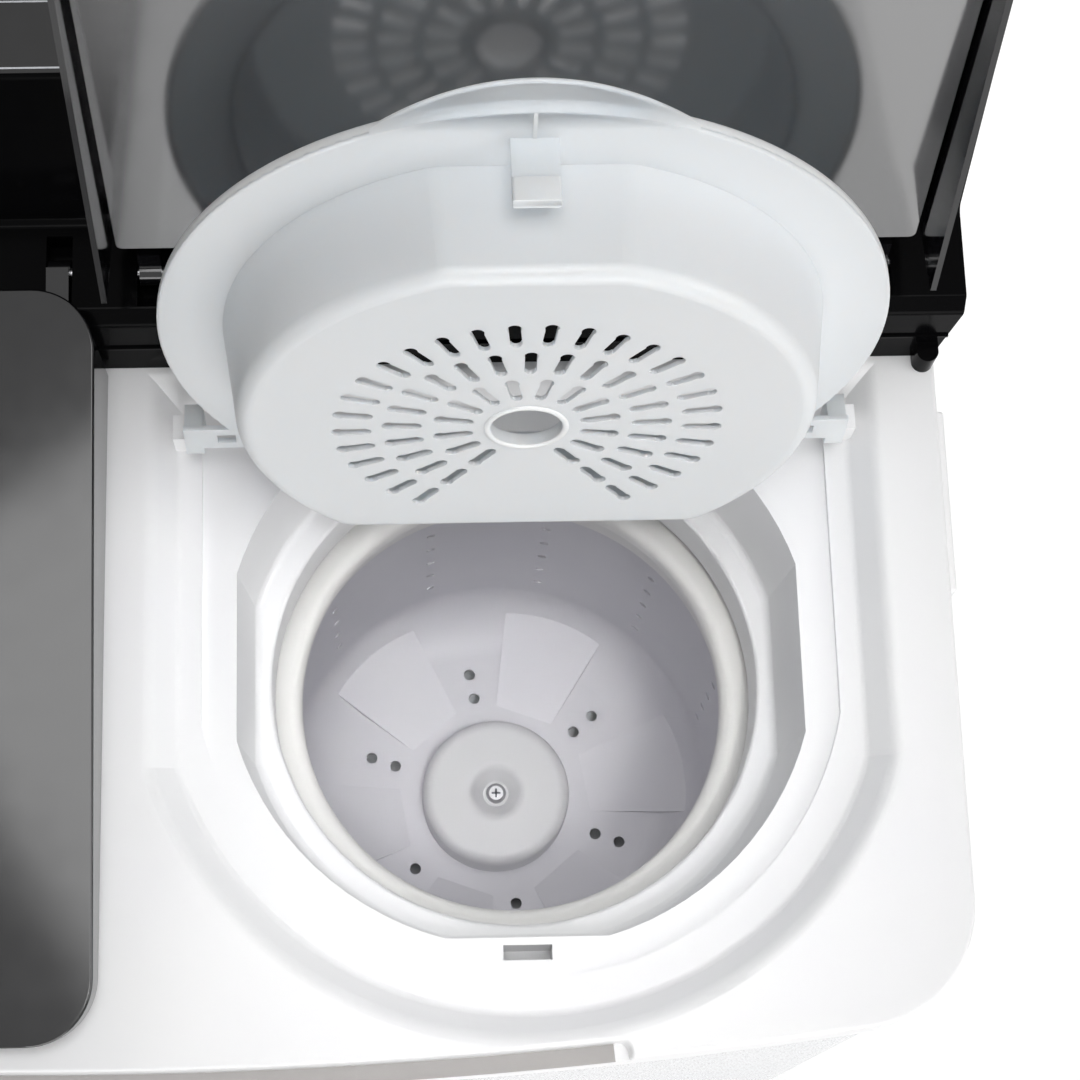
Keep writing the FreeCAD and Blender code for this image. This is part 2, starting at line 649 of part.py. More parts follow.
# Base tray, feet and cabinet.
FOOT_SPOTS = [(sx, sy) for sx in ("-foot_x", "foot_x") for sy in ("-foot_front", "foot_rear")]
tray = cut(footprint(SHELL_INSET, "foot_height", BASE_TOP),
           footprint(SHELL_INSET + " + shell_wall", "foot_height + base_floor", BASE_TOP + " + 1"))
stud_holes = [rod(x, y, "foot_height - 1", "foot_stud + pin_play", "base_floor + 2") for x, y in FOOT_SPOTS]
node("base_tray", cut(tray, *stud_holes))
feet = []
for x, y in FOOT_SPOTS:
    pad = cone(x, y, "0", "foot_radius", "foot_radius - 3", "foot_height")
    feet.append(fuse(pad, rod(x, y, "foot_height - 1", "foot_stud", "base_floor + 9")))
node("feet", group(*feet))

shell = cut(footprint(SHELL_INSET, BASE_TOP, UNDER_DECK),
            footprint(SHELL_INSET + " + shell_wall", BASE_TOP + " - 1", UNDER_DECK + " + 1"))
service = box("-(cover_half - cover_lap)", "cover_half - cover_lap", "deck_rear - 30", "deck_rear + 10",
              "cover_low + cover_lap", "cover_high - cover_lap")
COVER_SPOTS = [(sx, sz) for sx in ("-(cover_half - cover_lap / 2)", "0", "cover_half - cover_lap / 2")
               for sz in ("cover_low + cover_lap / 2", "cover_high - cover_lap / 2")]
cover_taps = [rod(x, REAR_FACE + " - shell_wall - 1", z, "screw_core + pin_play", "shell_wall + 2", "Y")
              for x, z in COVER_SPOTS]
gland_hole = rod("gland_x", REAR_FACE + " - shell_wall - 1", "gland_height", "gland_radius + hole_play",
                 "shell_wall + 2", "Y")
outlet_hole = rod("-(deck_width / 2) - 5", "drain_y", "outlet_height", "outlet_radius + hole_play", "30", "X")
grip_room = box("-grip_half - 2 * deck_wall", "grip_half + 2 * deck_wall", "-overall_depth / 2 - 5",
                "-overall_depth / 2 + 60", "deck_height - grip_drop - deck_wall - fit_gap", "deck_height")
node("cabinet_shell", cut(shell, service, gland_hole, outlet_hole, grip_room, *cover_taps))

cover = box("-cover_half", "cover_half", REAR_FACE, REAR_FACE + " + cover_thick", "cover_low", "cover_high")
vents = []
for side in ("-1", "1"):
    for step in range(9):
        z = "cover_low + 90 + vent_pitch * %d" % step
        x = "%s * cover_half / 2" % side
        vents.append(box(x + " - vent_width / 2", x + " + vent_width / 2", REAR_FACE + " - 1",
                         REAR_FACE + " + cover_thick + 1", z, z + " + vent_height"))
cover_holes = [rod(x, REAR_FACE + " - 1", z, "screw_core + pin_play", "cover_thick + 2", "Y")
               for x, z in COVER_SPOTS]
node("rear_cover", cut(cover, *(vents + cover_holes)))
cover_screws = []
for x, z in COVER_SPOTS:
    head = rod(x, REAR_FACE + " + cover_thick", z, "screw_head", "screw_rise", "Y")
    shank = rod(x, REAR_FACE + " - shell_wall - 6", z, "screw_core", "shell_wall + 7 + cover_thick", "Y")
    cover_screws.append(fuse(head, shank))
node("rear_cover_screws", group(*cover_screws))

# Top deck: a skirted plate with the spin well, the wash opening and the front finger recess.
SX = "spin_x"
SY = "spin_y"


def well(radius, half, slope, rear, top_drop, low_drop, grow="0"):
    """A round well with straight sides that run to the rear, narrowing by slope to its foot."""
    z = "deck_height - (%s)" % low_drop
    height = "(%s) - (%s)" % (low_drop, top_drop)
    wide = "%s + %s" % (radius, grow)
    narrow = "%s - (%s) + %s" % (radius, slope, grow)
    half_wide = "%s + %s" % (half, grow)
    half_narrow = "%s - (%s) + %s" % (half, slope, grow)
    rear_wide = "%s - spin_y + %s" % (rear, grow)
    rear_narrow = "%s - spin_y - (%s) + %s" % (rear, slope, grow)
    bowl = cone(SX, SY, z, narrow, wide, height)
    band = wedge(SX, SY, z, half_narrow, half_wide, "2 * recess_radius", "2 * recess_radius",
                 "0", "0", height)
    tail = wedge(SX, SY, z, half_narrow, half_wide, "0", "0", rear_narrow, rear_wide, height)
    return fuse(common(bowl, band), tail)


def funnel(grow, top_drop, low_drop):
    """The funnel above the collar: a cone with flat sides and a flat front."""
    z = "deck_height - (%s)" % low_drop
    height = "(%s) - (%s)" % (low_drop, top_drop)
    bowl = cone(SX, SY, z, "funnel_radius - funnel_draft + " + grow, "funnel_radius + " + grow, height)
    flats = wedge(SX, SY, z, "funnel_half - funnel_draft + " + grow, "funnel_half + " + grow,
                  "funnel_flat - funnel_draft + " + grow, "funnel_flat + " + grow,
                  "2 * funnel_radius", "2 * funnel_radius", height)
    return common(bowl, flats)


STEP_DROP = "seat_drop + step_drop"
STEP_REAR = "spin_y + step_rear"
plate = footprint("0", "deck_height - deck_skirt", "deck_height")
plate = rounded(plate, "deck_round", flat_at("deck_height"))
hollow = footprint("deck_wall", "deck_height - deck_skirt - 1", UNDER_DECK)
skin = cut(plate, hollow)
grip_bar = cut(box("-grip_half - deck_wall", "grip_half + deck_wall", "-overall_depth / 2 - 5",
                   "-overall_depth / 2 + 60", "deck_height - grip_drop - deck_wall", "deck_height"),
               footprint("grip_depth + deck_wall", "deck_height - deck_skirt - 2", "deck_height + 2"))
grip_bar = common(grip_bar, footprint("1", "deck_height - deck_skirt", "deck_height - 1"))
seat_basin = well("recess_radius", "recess_half", "recess_run", "recess_rear", "deck_wall - 1",
                  "seat_drop + deck_wall", "deck_wall")
step_basin = well("step_radius", "step_half", "0", STEP_REAR, "seat_drop",
                  STEP_DROP + " + deck_wall", "deck_wall")
funnel_wall = funnel("deck_wall", STEP_DROP, "collar_drop + deck_wall")
collar_wall = rod(SX, SY, "deck_height - collar_foot", "collar_radius + deck_wall", "collar_foot - collar_drop")
posts = []
for side in ("-1", "1"):
    inner = "inner_ear + ear_gap"
    left = "spin_x + %s * (%s + post_width / 2) - post_width / 2" % (side, inner)
    posts.append(box(left, left + " + post_width", "spin_y + inner_reach - post_half",
                     "spin_y + inner_reach + post_half", "deck_height - seat_drop - 1",
                     "deck_height + post_rise"))
rim_basin = slab("wash_x - wash_half_x - wash_rim", "wash_x + wash_half_x + wash_rim",
                 "wash_y - wash_half_y - wash_rim", "wash_y + wash_half_y + wash_rim",
                 "wash_corner + wash_rim", "deck_height - wash_rim_drop - deck_wall", "deck_height - 1")
deck = fuse(skin, grip_bar, seat_basin, step_basin, funnel_wall, collar_wall, rim_basin)
grip_cut = cut(box("-grip_half", "grip_half", "-overall_depth / 2 - 10", "-overall_depth / 2 + 60",
                   "deck_height - grip_drop", "deck_height + 5"),
               footprint("grip_depth", "deck_height - deck_skirt - 3", "deck_height + 9"))
grip_end = num("grip_half")
grip_front = num("-overall_depth / 2 - 5")
grip_cut = rounded(grip_cut, "grip_round", lambda edge: edge.BoundBox.ZLength > 10 and
                   abs(abs(edge.BoundBox.Center.x) - grip_end) < 0.1 and edge.BoundBox.Center.y > grip_front)
seat_cut = well("recess_radius", "recess_half", "recess_run", "recess_rear", "0", "seat_drop")
step_cut = well("step_radius", "step_half", "0", STEP_REAR, "seat_drop - 1", STEP_DROP)
funnel_cut = funnel("0", STEP_DROP, "collar_drop")
funnel_top = rod(SX, SY, "deck_height - (%s) - 1" % STEP_DROP, "funnel_half - 1", "2")
collar_cut = rod(SX, SY, "deck_height - collar_foot - 1", "collar_radius", "collar_foot - collar_drop + 2")
hook_slot = box("spin_x - slot_width / 2", "spin_x + slot_width / 2", "spin_y - slot_reach - slot_depth / 2",
                "spin_y - slot_reach + slot_depth / 2", "deck_height - (%s) - deck_wall - 60" % STEP_DROP,
                "deck_height - seat_drop")
wash_cut = slab("wash_x - wash_half_x", "wash_x + wash_half_x", "wash_y - wash_half_y", "wash_y + wash_half_y",
                "wash_corner", "deck_height - 60", "deck_height + 2")
rim_cut = slab("wash_x - wash_half_x - wash_rim + deck_wall", "wash_x + wash_half_x + wash_rim - deck_wall",
               "wash_y - wash_half_y - wash_rim + deck_wall", "wash_y + wash_half_y + wash_rim - deck_wall",
               "wash_corner + wash_rim - deck_wall", "deck_height - wash_rim_drop", "deck_height + 2")
rod_hole = rod("drain_x", "drain_y", "deck_height - 30", "rod_radius + 3", "60")
deck = cut(deck, grip_cut, seat_cut, step_cut, funnel_cut, funnel_top, collar_cut, hook_slot, wash_cut,
           rim_cut, rod_hole)
SEAT = "deck_height - seat_drop"
COLLAR = "deck_height - collar_drop"
deck = rounded(deck, "recess_round", well_edge("deck_height", "recess_radius", "recess_half", "recess_rear"))
deck = rounded(deck, "recess_foot_round",
               well_edge(SEAT, "recess_radius - recess_run", "recess_half - recess_run",
                         "recess_rear - recess_run"))
deck = rounded(deck, "collar_round", round_at(COLLAR, "collar_radius"))
deck = rounded(deck, "funnel_round",
               well_edge(COLLAR, "funnel_radius - funnel_draft", "funnel_half - funnel_draft",
                         "spin_y - funnel_flat + funnel_draft"))
rim_top = flat_at("deck_height")
rim_side = num("wash_x - wash_half_x - wash_rim - 1")
rim_end = num("wash_y + wash_half_y + wash_rim + 1")
deck = rounded(deck, "rim_round",
               lambda edge: rim_top(edge) and edge.BoundBox.XMin > rim_side and edge.BoundBox.XMax < 0
               and edge.BoundBox.YMax < rim_end)
deck = fuse(deck, *posts)
inner_pin_hole = rod("spin_x - inner_ear - post_width - 5", "spin_y + inner_reach", "deck_height",
                     "inner_pin + pin_play", "2 * inner_ear + 2 * post_width + 10", "X")
node("top_deck", cut(deck, inner_pin_hole))

handles = []
for side in ("-1", "1"):
    left = "%s * (deck_width / 2 + handle_bulge / 2) - handle_bulge / 2" % side
    bar = box(left, left + " + handle_bulge", "handle_y - handle_length / 2", "handle_y + handle_length / 2",
              "deck_height - deck_skirt + 4", "deck_height - deck_skirt + 4 + handle_height")
    handles.append(rounded(bar, "handle_round", lambda edge: True))
node("side_handles", group(*handles))

# Console: a ledge that carries the lids and a tower with the controls on its sloping top.
FRONT = "console_front"
FACE_SLOPE = "(console_height - tower_brow_height) / (overall_depth / 2 - tower_brow)"
FACE_TILT = "atan(%s)" % FACE_SLOPE
FACE_Y = "(tower_brow + overall_depth / 2) / 2"
FACE_Z = "deck_height + (tower_brow_height + console_height) / 2"


def console_section(grow, x0, x1, foot):
    """The console's side profile, drawn in by grow."""
    thick = "%s / cos(%s)" % (grow, FACE_TILT)
    points = [(grow, "0"),
              ("console_lean + " + grow, "ledge_height - ledge_chamfer + " + foot),
              ("console_lean + ledge_bevel + " + grow, "ledge_height - %s + %s" % (grow, foot)),
              ("tower_foot - console_front + " + grow, "ledge_height - %s + %s" % (grow, foot)),
              ("tower_brow - console_front + " + grow,
               "tower_brow_height + %s * %s - %s + %s" % (FACE_SLOPE, grow, thick, foot)),
              ("overall_depth / 2 - console_front - " + grow,
               "console_height - %s * %s - %s + %s" % (FACE_SLOPE, grow, thick, foot)),
              ("overall_depth / 2 - console_front - " + grow, "0")]
    return profile_x(points, x0, x1, FRONT, "deck_height - (%s)" % foot)


half_console = "console_width / 2"
outer = console_section("0", "-" + half_console, half_console, "0")
inner = console_section("console_wall", "-(%s) + 2 * console_wall" % half_console,
                        half_console + " - 2 * console_wall", "5")
ridge = box("-(%s)" % half_console, half_console, FRONT + " - ridge_size + 2", FRONT + " + console_lean",
            "deck_height + ridge_height - 1", "deck_height + ridge_height + 1")
blocks = []
notches = []
pin_holes = []
arm_spots = []
for centre, half in (("spin_x", "spin_lid_half"), ("wash_x", "wash_lid_half")):
    for side in ("-1", "1"):
        arm_spots.append("%s + %s * (%s - arm_offset)" % (centre, side, half))
HINGE_Z = "deck_height + lid_hinge_rise"
for spot in arm_spots:
    blocks.append(box(spot + " - block_half", spot + " + block_half", "lid_hinge_y - 22", "lid_hinge_y + 22",
                      "deck_height + ledge_height - block_drop", "deck_height + ledge_height - 1"))
    notches.append(box(spot + " - arm_width / 2 - arm_gap", spot + " + arm_width / 2 + arm_gap",
                       "lid_hinge_y - arm_reach - 6", "lid_hinge_y + arm_reach + 3",
                       HINGE_Z + " - arm_radius - 2", "deck_height + ledge_height + 20"))
    pin_holes.append(rod(spot + " - lid_pin_length / 2", "lid_hinge_y", HINGE_Z, "lid_pin + pin_play",
                         "lid_pin_length", "X"))
KNOB_SPOTS = [("wash_timer", "wash_timer_x"), ("drain_selector", "selector_x"), ("spin_timer", "spin_timer_x")]


def on_face(obj, x):
    """Sets a piece that is drawn flat onto the console's sloping top."""
    turn(obj, ALONG_X, FACE_TILT)
    return place(obj, x, FACE_Y, FACE_Z)


ends = []
for side in ("-1", "1"):
    end = fresh("Part::Wedge", "wedge")
    end.Placement = FreeCAD.Placement(FreeCAD.Vector(), FreeCAD.Rotation(ALONG_X, 90))
    foot_x = "%s * (%s - console_flare)" % (side, half_console)
    ledge_x = "%s * (%s)" % (side, half_console)
    past_x = "%s * (%s + 20)" % (side, half_console)
    near, wide = ("Xmin", "Xmax") if side == "1" else ("Xmax", "Xmin")
    near_high, wide_high = ("X2min", "X2max") if side == "1" else ("X2max", "X2min")
    tie(end, **{near: foot_x, wide: past_x, near_high: ledge_x, wide_high: past_x})
    tie(end, Ymin="0", Ymax="ledge_height", Zmin="-400", Zmax="400", Z2min="-400", Z2max="400")
    ends.append(place(end, "0", "0", "deck_height"))
lugs = []
for side in ("-1", "1"):
    middle = "%s * (%s - console_flare - lug_width / 2)" % (side, half_console)
    nose = FRONT + " - lug_reach + lug_width / 2"
    lugs.append(box(middle + " - lug_width / 2", middle + " + lug_width / 2", nose, FRONT + " + console_lean",
                    "deck_height", "deck_height + lug_height"))
    lugs.append(rod(middle, nose, "deck_height", "lug_width / 2", "lug_height"))
outer = rounded(outer, "console_round",
                run_at(("console_front + console_lean", "deck_height + ledge_height - ledge_chamfer"),
                       ("console_front + console_lean + ledge_bevel", "deck_height + ledge_height"),
                       ("tower_brow", "deck_height + tower_brow_height"),
                       ("overall_depth / 2", "deck_height + console_height")))
outer = rounded(outer, "tower_round", run_at(("tower_foot", "deck_height + ledge_height")))
console = cut(fuse(outer, ridge), inner)
console = cut(fuse(console, *(blocks + lugs)), *ends)


def face_hole(x, radius):
    """A hole square to the console's sloping top."""
    hole = on_face(rod("0", "0", "0", radius, "40"), x)
    hole.setExpression("Placement.Base.y", bound(FACE_Y + " + 20 * sin(%s)" % FACE_TILT))
    hole.setExpression("Placement.Base.z", bound(FACE_Z + " - 20 * cos(%s)" % FACE_TILT))
    return hole


face_holes = [face_hole(x, "knob_stem + 0.6") for label, x in KNOB_SPOTS]
face_holes.append(face_hole("inlet_x", "inlet_bore"))
node("console_housing", cut(console, *(notches + pin_holes + face_holes)))

panel = slab("-panel_length / 2", "panel_length / 2", "-panel_depth / 2", "panel_depth / 2", "5", "0",
             "panel_thick")
panel_holes = [rod(x, "0", "-5", "knob_stem + 0.6", "20") for label, x in KNOB_SPOTS]
node("control_panel", on_face(cut(panel, *panel_holes), "0"))
for label, x in KNOB_SPOTS:
    case = box("-timer_width / 2", "timer_width / 2", "-timer_depth / 2", "timer_depth / 2",
               "-console_wall - timer_height", "-console_wall")
    bore = rod("0", "0", "-stem_length - 2", "knob_stem + stem_play", "stem_length + 4")
    node(label, on_face(cut(case, bore), x))
    low = "panel_thick + knob_gap"
    skirt = rod("0", "0", low, "knob_radius", "5")
    dome = cone("0", "0", low + " + 4", "knob_radius - 3", "knob_radius - 5", "knob_height - 4")
    bar = box("-3", "3", "-knob_radius + 2", "knob_radius - 2", low + " + 4", low + " + knob_height - 1")
    stem = rod("0", "0", "-stem_length", "knob_stem", "stem_length + 8")
    node(label + "_knob", on_face(fuse(skirt, dome, bar, stem), x))
inlet = fuse(rod("0", "0", "0", "inlet_radius + 6", "3"),
             rod("0", "0", "1", "inlet_radius", "inlet_length + 2"))
node("water_inlet", on_face(cut(inlet, rod("0", "0", "-5", "inlet_bore", "inlet_length + 20")), "inlet_x"))
node("lid_switch", box("spin_x + 100", "spin_x + 140", "lid_hinge_y - 16", "lid_hinge_y + 4",
                       "deck_height + ledge_height - console_wall - 22",
                       "deck_height + ledge_height - console_wall"))

# Outer lids, drawn with the hinge axis through the origin and the panel level.
CLOSED = FreeCAD.Vector(-1, 0, 0)


def level_box(x0, x1, y0, y1, z0, z1):
    """A block that is level when the lid is closed."""
    obj = box(x0, x1, y0, y1, z0, z1)
    turn(obj, CLOSED, "lid_slope")
    return place(obj, x0, "(%s) * cos(lid_slope) + (%s) * sin(lid_slope)" % (y0, z0),
                 "(%s) * cos(lid_slope) - (%s) * sin(lid_slope)" % (z0, y0))


def lid(half):
    """A hinged lid: a panel with a skirt that comes down to the deck and to the ledge."""
    front = "-(lid_front + lid_hinge_y)"
    top = "lid_crown + lid_thick"
    outside = slab("-" + half, half, front, "-lid_back", "lid_corner", "-2 * ledge_height", top)
    outside = rounded(outside, "lid_thick / 2", flat_at(top))
    inside = slab("-%s + lid_thick" % half, half + " - lid_thick", front + " + lid_thick",
                  "-lid_back - lid_thick", "lid_corner - lid_thick", "-2 * ledge_height - 1", "lid_crown")
    over_deck = level_box("-%s - 5" % half, half + " + 5", front + " - 50", "100", "-300",
                          "-(lid_hinge_rise - lid_gap)")
    over_ledge = level_box("-%s - 5" % half, half + " + 5", "console_front - lid_hinge_y - 5", "100", "-300",
                           "ledge_height - lid_hinge_rise + lid_gap")
    body = cut(cut(outside, inside), over_deck, over_ledge)
    arms = []
    for side in ("-1", "1"):
        spot = "%s * (%s - arm_offset)" % (side, half)
        arms.append(box(spot + " - arm_width / 2", spot + " + arm_width / 2", "-arm_reach - 4", "0",
                        "-2", "lid_crown + 1"))
        arms.append(rod(spot + " - arm_width / 2", "0", "0", "arm_radius", "arm_width", "X"))
    body = fuse(body, *arms)
    return cut(body, rod("-" + half, "0", "0", "lid_pin + pin_play", "2 * " + half, "X"))


spin_lid = turn(lid("spin_lid_half"), CLOSED, "lid_open - lid_slope")
node("spin_lid", place(spin_lid, "spin_x", "lid_hinge_y", HINGE_Z))
wash_lid = turn(lid("wash_lid_half"), ALONG_X, "lid_slope")
node("wash_lid", place(wash_lid, "wash_x", "lid_hinge_y", HINGE_Z))
for name, spots in (("spin_lid_pins", arm_spots[:2]), ("wash_lid_pins", arm_spots[2:])):
    node(name, group(*[rod(spot + " - lid_pin_length / 2 + 1", "lid_hinge_y", HINGE_Z, "lid_pin",
                           "lid_pin_length - 2", "X") for spot in spots]))

# Inner spin lid, drawn closed with its hinge axis through the origin.
CY = "-inner_reach"
FZ = "-flange_drop"
flange = cut(rod("0", CY, FZ, "flange_radius", "flange_thick"),
             box("-2 * flange_radius", "2 * flange_radius", "-6", "2 * flange_radius", "-200", "200"))
flange = rounded(flange, "flange_round",
                 lambda edge: abs(getattr(edge.Curve, "Radius", 0) - num("flange_radius")) < 0.02)
rail = box("-inner_ear", "inner_ear", "-26", "-6", FZ, FZ + " + flange_thick")


def dish(grow, foot, height):
    """The dish of the inner lid: a cone with a flat front, a flat rear and rounded edges."""
    bowl = cone("0", CY, foot, "dish_radius - dish_draft - " + grow, "dish_radius - " + grow, height)
    flats = wedge("0", CY, foot, "2 * dish_radius", "2 * dish_radius",
                  "dish_front - dish_front_draft - " + grow, "dish_front - " + grow,
                  "dish_rear - dish_draft / 2 - " + grow, "dish_rear - " + grow, height)
    seam = num(CY)
    body = rounded(common(bowl, flats), "dish_corner - " + grow,
                   lambda edge: edge.BoundBox.ZLength > 5 and abs(edge.BoundBox.Center.y - seam) > 1)
    return rounded(body, "dish_round - " + grow, flat_at(foot))


dish_out = dish("0", FZ + " - dish_depth", "dish_depth")
dish_in = dish("dish_wall", FZ + " - dish_depth + dish_wall", "dish_depth - dish_wall + flange_thick + 0.5")
lip_ring = cut(cone("0", CY, FZ, "flange_radius", "flange_radius + lip_reach", "lip_height"),
               cone("0", CY, FZ + " - 0.01", "flange_radius - lip_thick",
                    "flange_radius + lip_reach - lip_thick", "lip_height + 0.02"))
lip_arch = "(lip_half * lip_half + (lip_height - flange_thick) * (lip_height - flange_thick))" \
    " / (2 * (lip_height - flange_thick))"
lip_disc = rod("0", "-inner_reach - flange_radius - 60", FZ + " + lip_height - " + lip_arch, lip_arch,
               "160", "Y")
lip_window = common(lip_disc, box("-lip_half", "lip_half", "-inner_reach - flange_radius - 50", "-inner_reach",
                                  FZ, FZ + " + 60"))
lip = common(lip_ring, lip_window)
hook_y = "-inner_reach - slot_reach"
hook = box("-hook_width / 2", "hook_width / 2", hook_y + " - hook_thick / 2", hook_y + " + hook_thick / 2",
           FZ + " - hook_length", FZ + " + 1")
ears = []
for side in ("-1", "1"):
    left = "%s * (inner_ear - ear_width / 2) - ear_width / 2" % side
    ears.append(box(left, left + " + ear_width", "-20", "0", FZ, "5"))
    ears.append(rod(left, "0", "0", "5.5", "ear_width", "X"))
collar = rod("0", CY, FZ + " - dish_depth", "eye_radius + eye_collar", "dish_wall + 4")
inner_lid = cut(fuse(flange, rail, dish_out), dish_in)
inner_lid = fuse(inner_lid, lip, hook, collar, *ears)
slots = []
ring_count = 3
for ring in range(ring_count):
    outer_end = "(grille_outer - grille_pitch * %d)" % ring
    copies = int(round(num("grille_slots * %s / grille_outer" % outer_end)))
    sweep = 290.0
    for copy in range(copies):
        angle = -90.0 - sweep / 2 + sweep * copy / (copies - 1.0)
        c = "%.6f" % math.cos(math.radians(angle))
        s = "%.6f" % math.sin(math.radians(angle))
        inner_end = outer_end + " - grille_length"
        for reach, radius in ((outer_end + " - grille_width / 2", "grille_width / 2"),
                              (inner_end + " + grille_width / 3", "grille_width / 3")):
            slots.append(rod("(%s) * %s" % (reach, c), CY + " + (%s) * %s" % (reach, s),
                             FZ + " - dish_depth - 1", radius, "dish_wall + 2"))
        web = box("0", "grille_length - grille_width * 5 / 6", "0", "grille_width * 5 / 6", "0",
                  "dish_wall + 2")
        web.Placement = FreeCAD.Placement(FreeCAD.Vector(), FreeCAD.Rotation(UP, angle))
        start = inner_end + " + grille_width / 3"
        place(web, "(%s) * %s + grille_width * 5 / 12 * %s" % (start, c, s),
              CY + " + (%s) * %s - grille_width * 5 / 12 * %s" % (start, s, c), FZ + " - dish_depth - 1")
        slots.append(web)
eye = rod("0", CY, FZ + " - dish_depth - 1", "eye_radius", "dish_depth")
ear_hole = rod("-inner_ear - 5", "0", "0", "inner_pin + pin_play", "2 * inner_ear + 10", "X")
rail_slots = [box("%s * rail_slot_x - 5" % side, "%s * rail_slot_x + 5" % side, "-20", "-12", FZ + " - 1",
                  FZ + " + flange_thick + 1")
              for side in ("-1", "1")]
inner_lid = cut(inner_lid, eye, ear_hole, *(slots + rail_slots))
inner_lid = turn(inner_lid, CLOSED, "inner_open")
node("spin_inner_lid", place(inner_lid, "spin_x", "spin_y + inner_reach", "deck_height"))
pins = []
for side in ("-1", "1"):
    length = "ear_width + ear_gap + post_width - 1"
    left = "spin_x + %s * (inner_ear - ear_width + (%s) / 2) - (%s) / 2" % (side, length, length)
    pins.append(rod(left, "spin_y + inner_reach", "deck_height", "inner_pin", length, "X"))
node("inner_lid_pins", group(*pins))

# Spin side: outer tub, basket and everything on the spin shaft.
TUB_FOOT = "deck_height - outer_tub_drop - outer_tub_wall"
tub_top = "outer_tub_drop + outer_tub_wall - collar_drop - deck_wall"
tub_out = "outer_tub_radius + outer_tub_wall"
tub_eye = "collar_radius + deck_wall + fit_gap"
outer_tub = turned([("seal_radius - 4", "0"), (tub_out, "0"), (tub_out, tub_top), (tub_eye, tub_top),
                    (tub_eye, tub_top + " - outer_tub_wall"),
                    ("outer_tub_radius", tub_top + " - outer_tub_wall"), ("outer_tub_radius", "outer_tub_wall"),
                    ("seal_radius - 4", "outer_tub_wall")], SX, SY, TUB_FOOT)
SPIN_DRAIN_X = "spin_x - spin_drain_dx"
SPIN_DRAIN_Y = "spin_y + spin_drain_dy"
spin_drain_hole = rod(SPIN_DRAIN_X, SPIN_DRAIN_Y, TUB_FOOT + " - 1", "pipe_radius - pipe_wall",
                      "outer_tub_wall + 2")
node("spin_outer_tub", cut(outer_tub, spin_drain_hole))

BASKET_FOOT = "deck_height - basket_drop - basket_wall"
rim = "basket_drop + basket_wall - basket_rim_drop"
bore = "spin_shaft + shaft_play"
inside = "basket_radius - basket_wall"
basket = turned([(bore, "0"), ("basket_radius", "0"), ("basket_radius", rim), (inside, rim),
                 (inside, "basket_wall"), (bore, "basket_wall")], SX, SY, BASKET_FOOT)
basket = rounded(basket, "basket_round", round_at(BASKET_FOOT + " + basket_wall", inside))
ramps = []
for index in range(int(num("ramp_count"))):
    angle = num("hole_angle + 180 / ramp_count") + 360.0 / num("ramp_count") * index
    ramp = fresh("Part::Wedge", "wedge")
    turned_up = FreeCAD.Rotation(UP, angle).multiply(FreeCAD.Rotation(FreeCAD.Vector(1, 1, 1), -120))
    ramp.Placement = FreeCAD.Placement(FreeCAD.Vector(), turned_up)
    tie(ramp, Ymin="ramp_inner", Ymax=inside)
    tie(ramp, Xmin="0", Xmax="0.5", X2min="0", X2max="ramp_rise")
    tie(ramp, Zmin="-ramp_narrow / 2", Zmax="ramp_narrow / 2", Z2min="-ramp_wide / 2", Z2max="ramp_wide / 2")
    ramps.append(place(ramp, SX, SY, BASKET_FOOT + " + basket_wall - 0.5"))
ramp_limit = rod(SX, SY, BASKET_FOOT, inside + " + 1", "basket_drop / 2")
basket = fuse(basket, common(fuse(*ramps), ramp_limit))
drillings = []
for index in range(int(num("ramp_count"))):
    angle = num("hole_angle") + 360.0 / num("ramp_count") * index
    for reach in ("hole_inner", "hole_outer"):
        drillings.append(rod("spin_x + %s * %.6f" % (reach, math.cos(math.radians(angle))),
                             "spin_y + %s * %.6f" % (reach, math.sin(math.radians(angle))),
                             BASKET_FOOT + " - 1", "floor_hole", "basket_wall + 2"))
for index in range(int(num("basket_holes"))):
    angle = num("hole_angle + 90 / basket_holes") + 360.0 / num("basket_holes") * index
    lie = FreeCAD.Rotation(UP, angle).multiply(FreeCAD.Rotation(ALONG_Y, 90))
    for row in range(int(num("basket_rows"))):
        hole = fresh("Part::Cylinder", "rod")
        hole.Placement = FreeCAD.Placement(FreeCAD.Vector(), lie)
        tie(hole, Radius="wall_hole", Height="2 * basket_wall + 10")
        reach = "(basket_radius - basket_wall - 8)"
        step = "(%s - ring_height - basket_round - 46) / basket_rows" % rim
        place(hole, "spin_x + %s * %.6f" % (reach, math.cos(math.radians(angle))),
              "spin_y + %s * %.6f" % (reach, math.sin(math.radians(angle))),
              BASKET_FOOT + " + basket_round + 30 + %d * %s" % (row, step))
        drillings.append(hole)
node("spin_basket", cut(basket, *drillings))
seat = "ring_height - basket_rim_drop + ring_drop"
ring_in = inside + " - ring_gap"
ring = turned([("ring_lip + 7", "0"), (ring_in, "0"), (ring_in, seat), ("ring_outer", seat),
               ("ring_outer", "ring_height - 3"), ("ring_outer - 3", "ring_height"),
               ("ring_lip", "ring_height"), ("ring_lip", "ring_height - 14")],
              SX, SY, "deck_height - ring_drop - ring_height")
node("balance_ring", rounded(ring, "ring_round", round_at("deck_height - ring_drop", "ring_lip")))
BASKET_FLOOR = "deck_height - basket_drop"
CAP_TOP = BASKET_FLOOR + " + cap_height"
cap = turned([("3 + pin_play", "cap_height - 15"), ("cap_radius - 3", "cap_height - 15"),
              ("cap_radius - 3", "0"), ("cap_radius", "0"), ("cap_radius", "cap_height"),
              ("cap_dimple", "cap_height"),
              ("9", "cap_height - 11"), ("3 + pin_play", "cap_height - 11")], SX, SY, BASKET_FLOOR)
cap = rounded(cap, "cap_round", round_at(CAP_TOP, "cap_radius"))
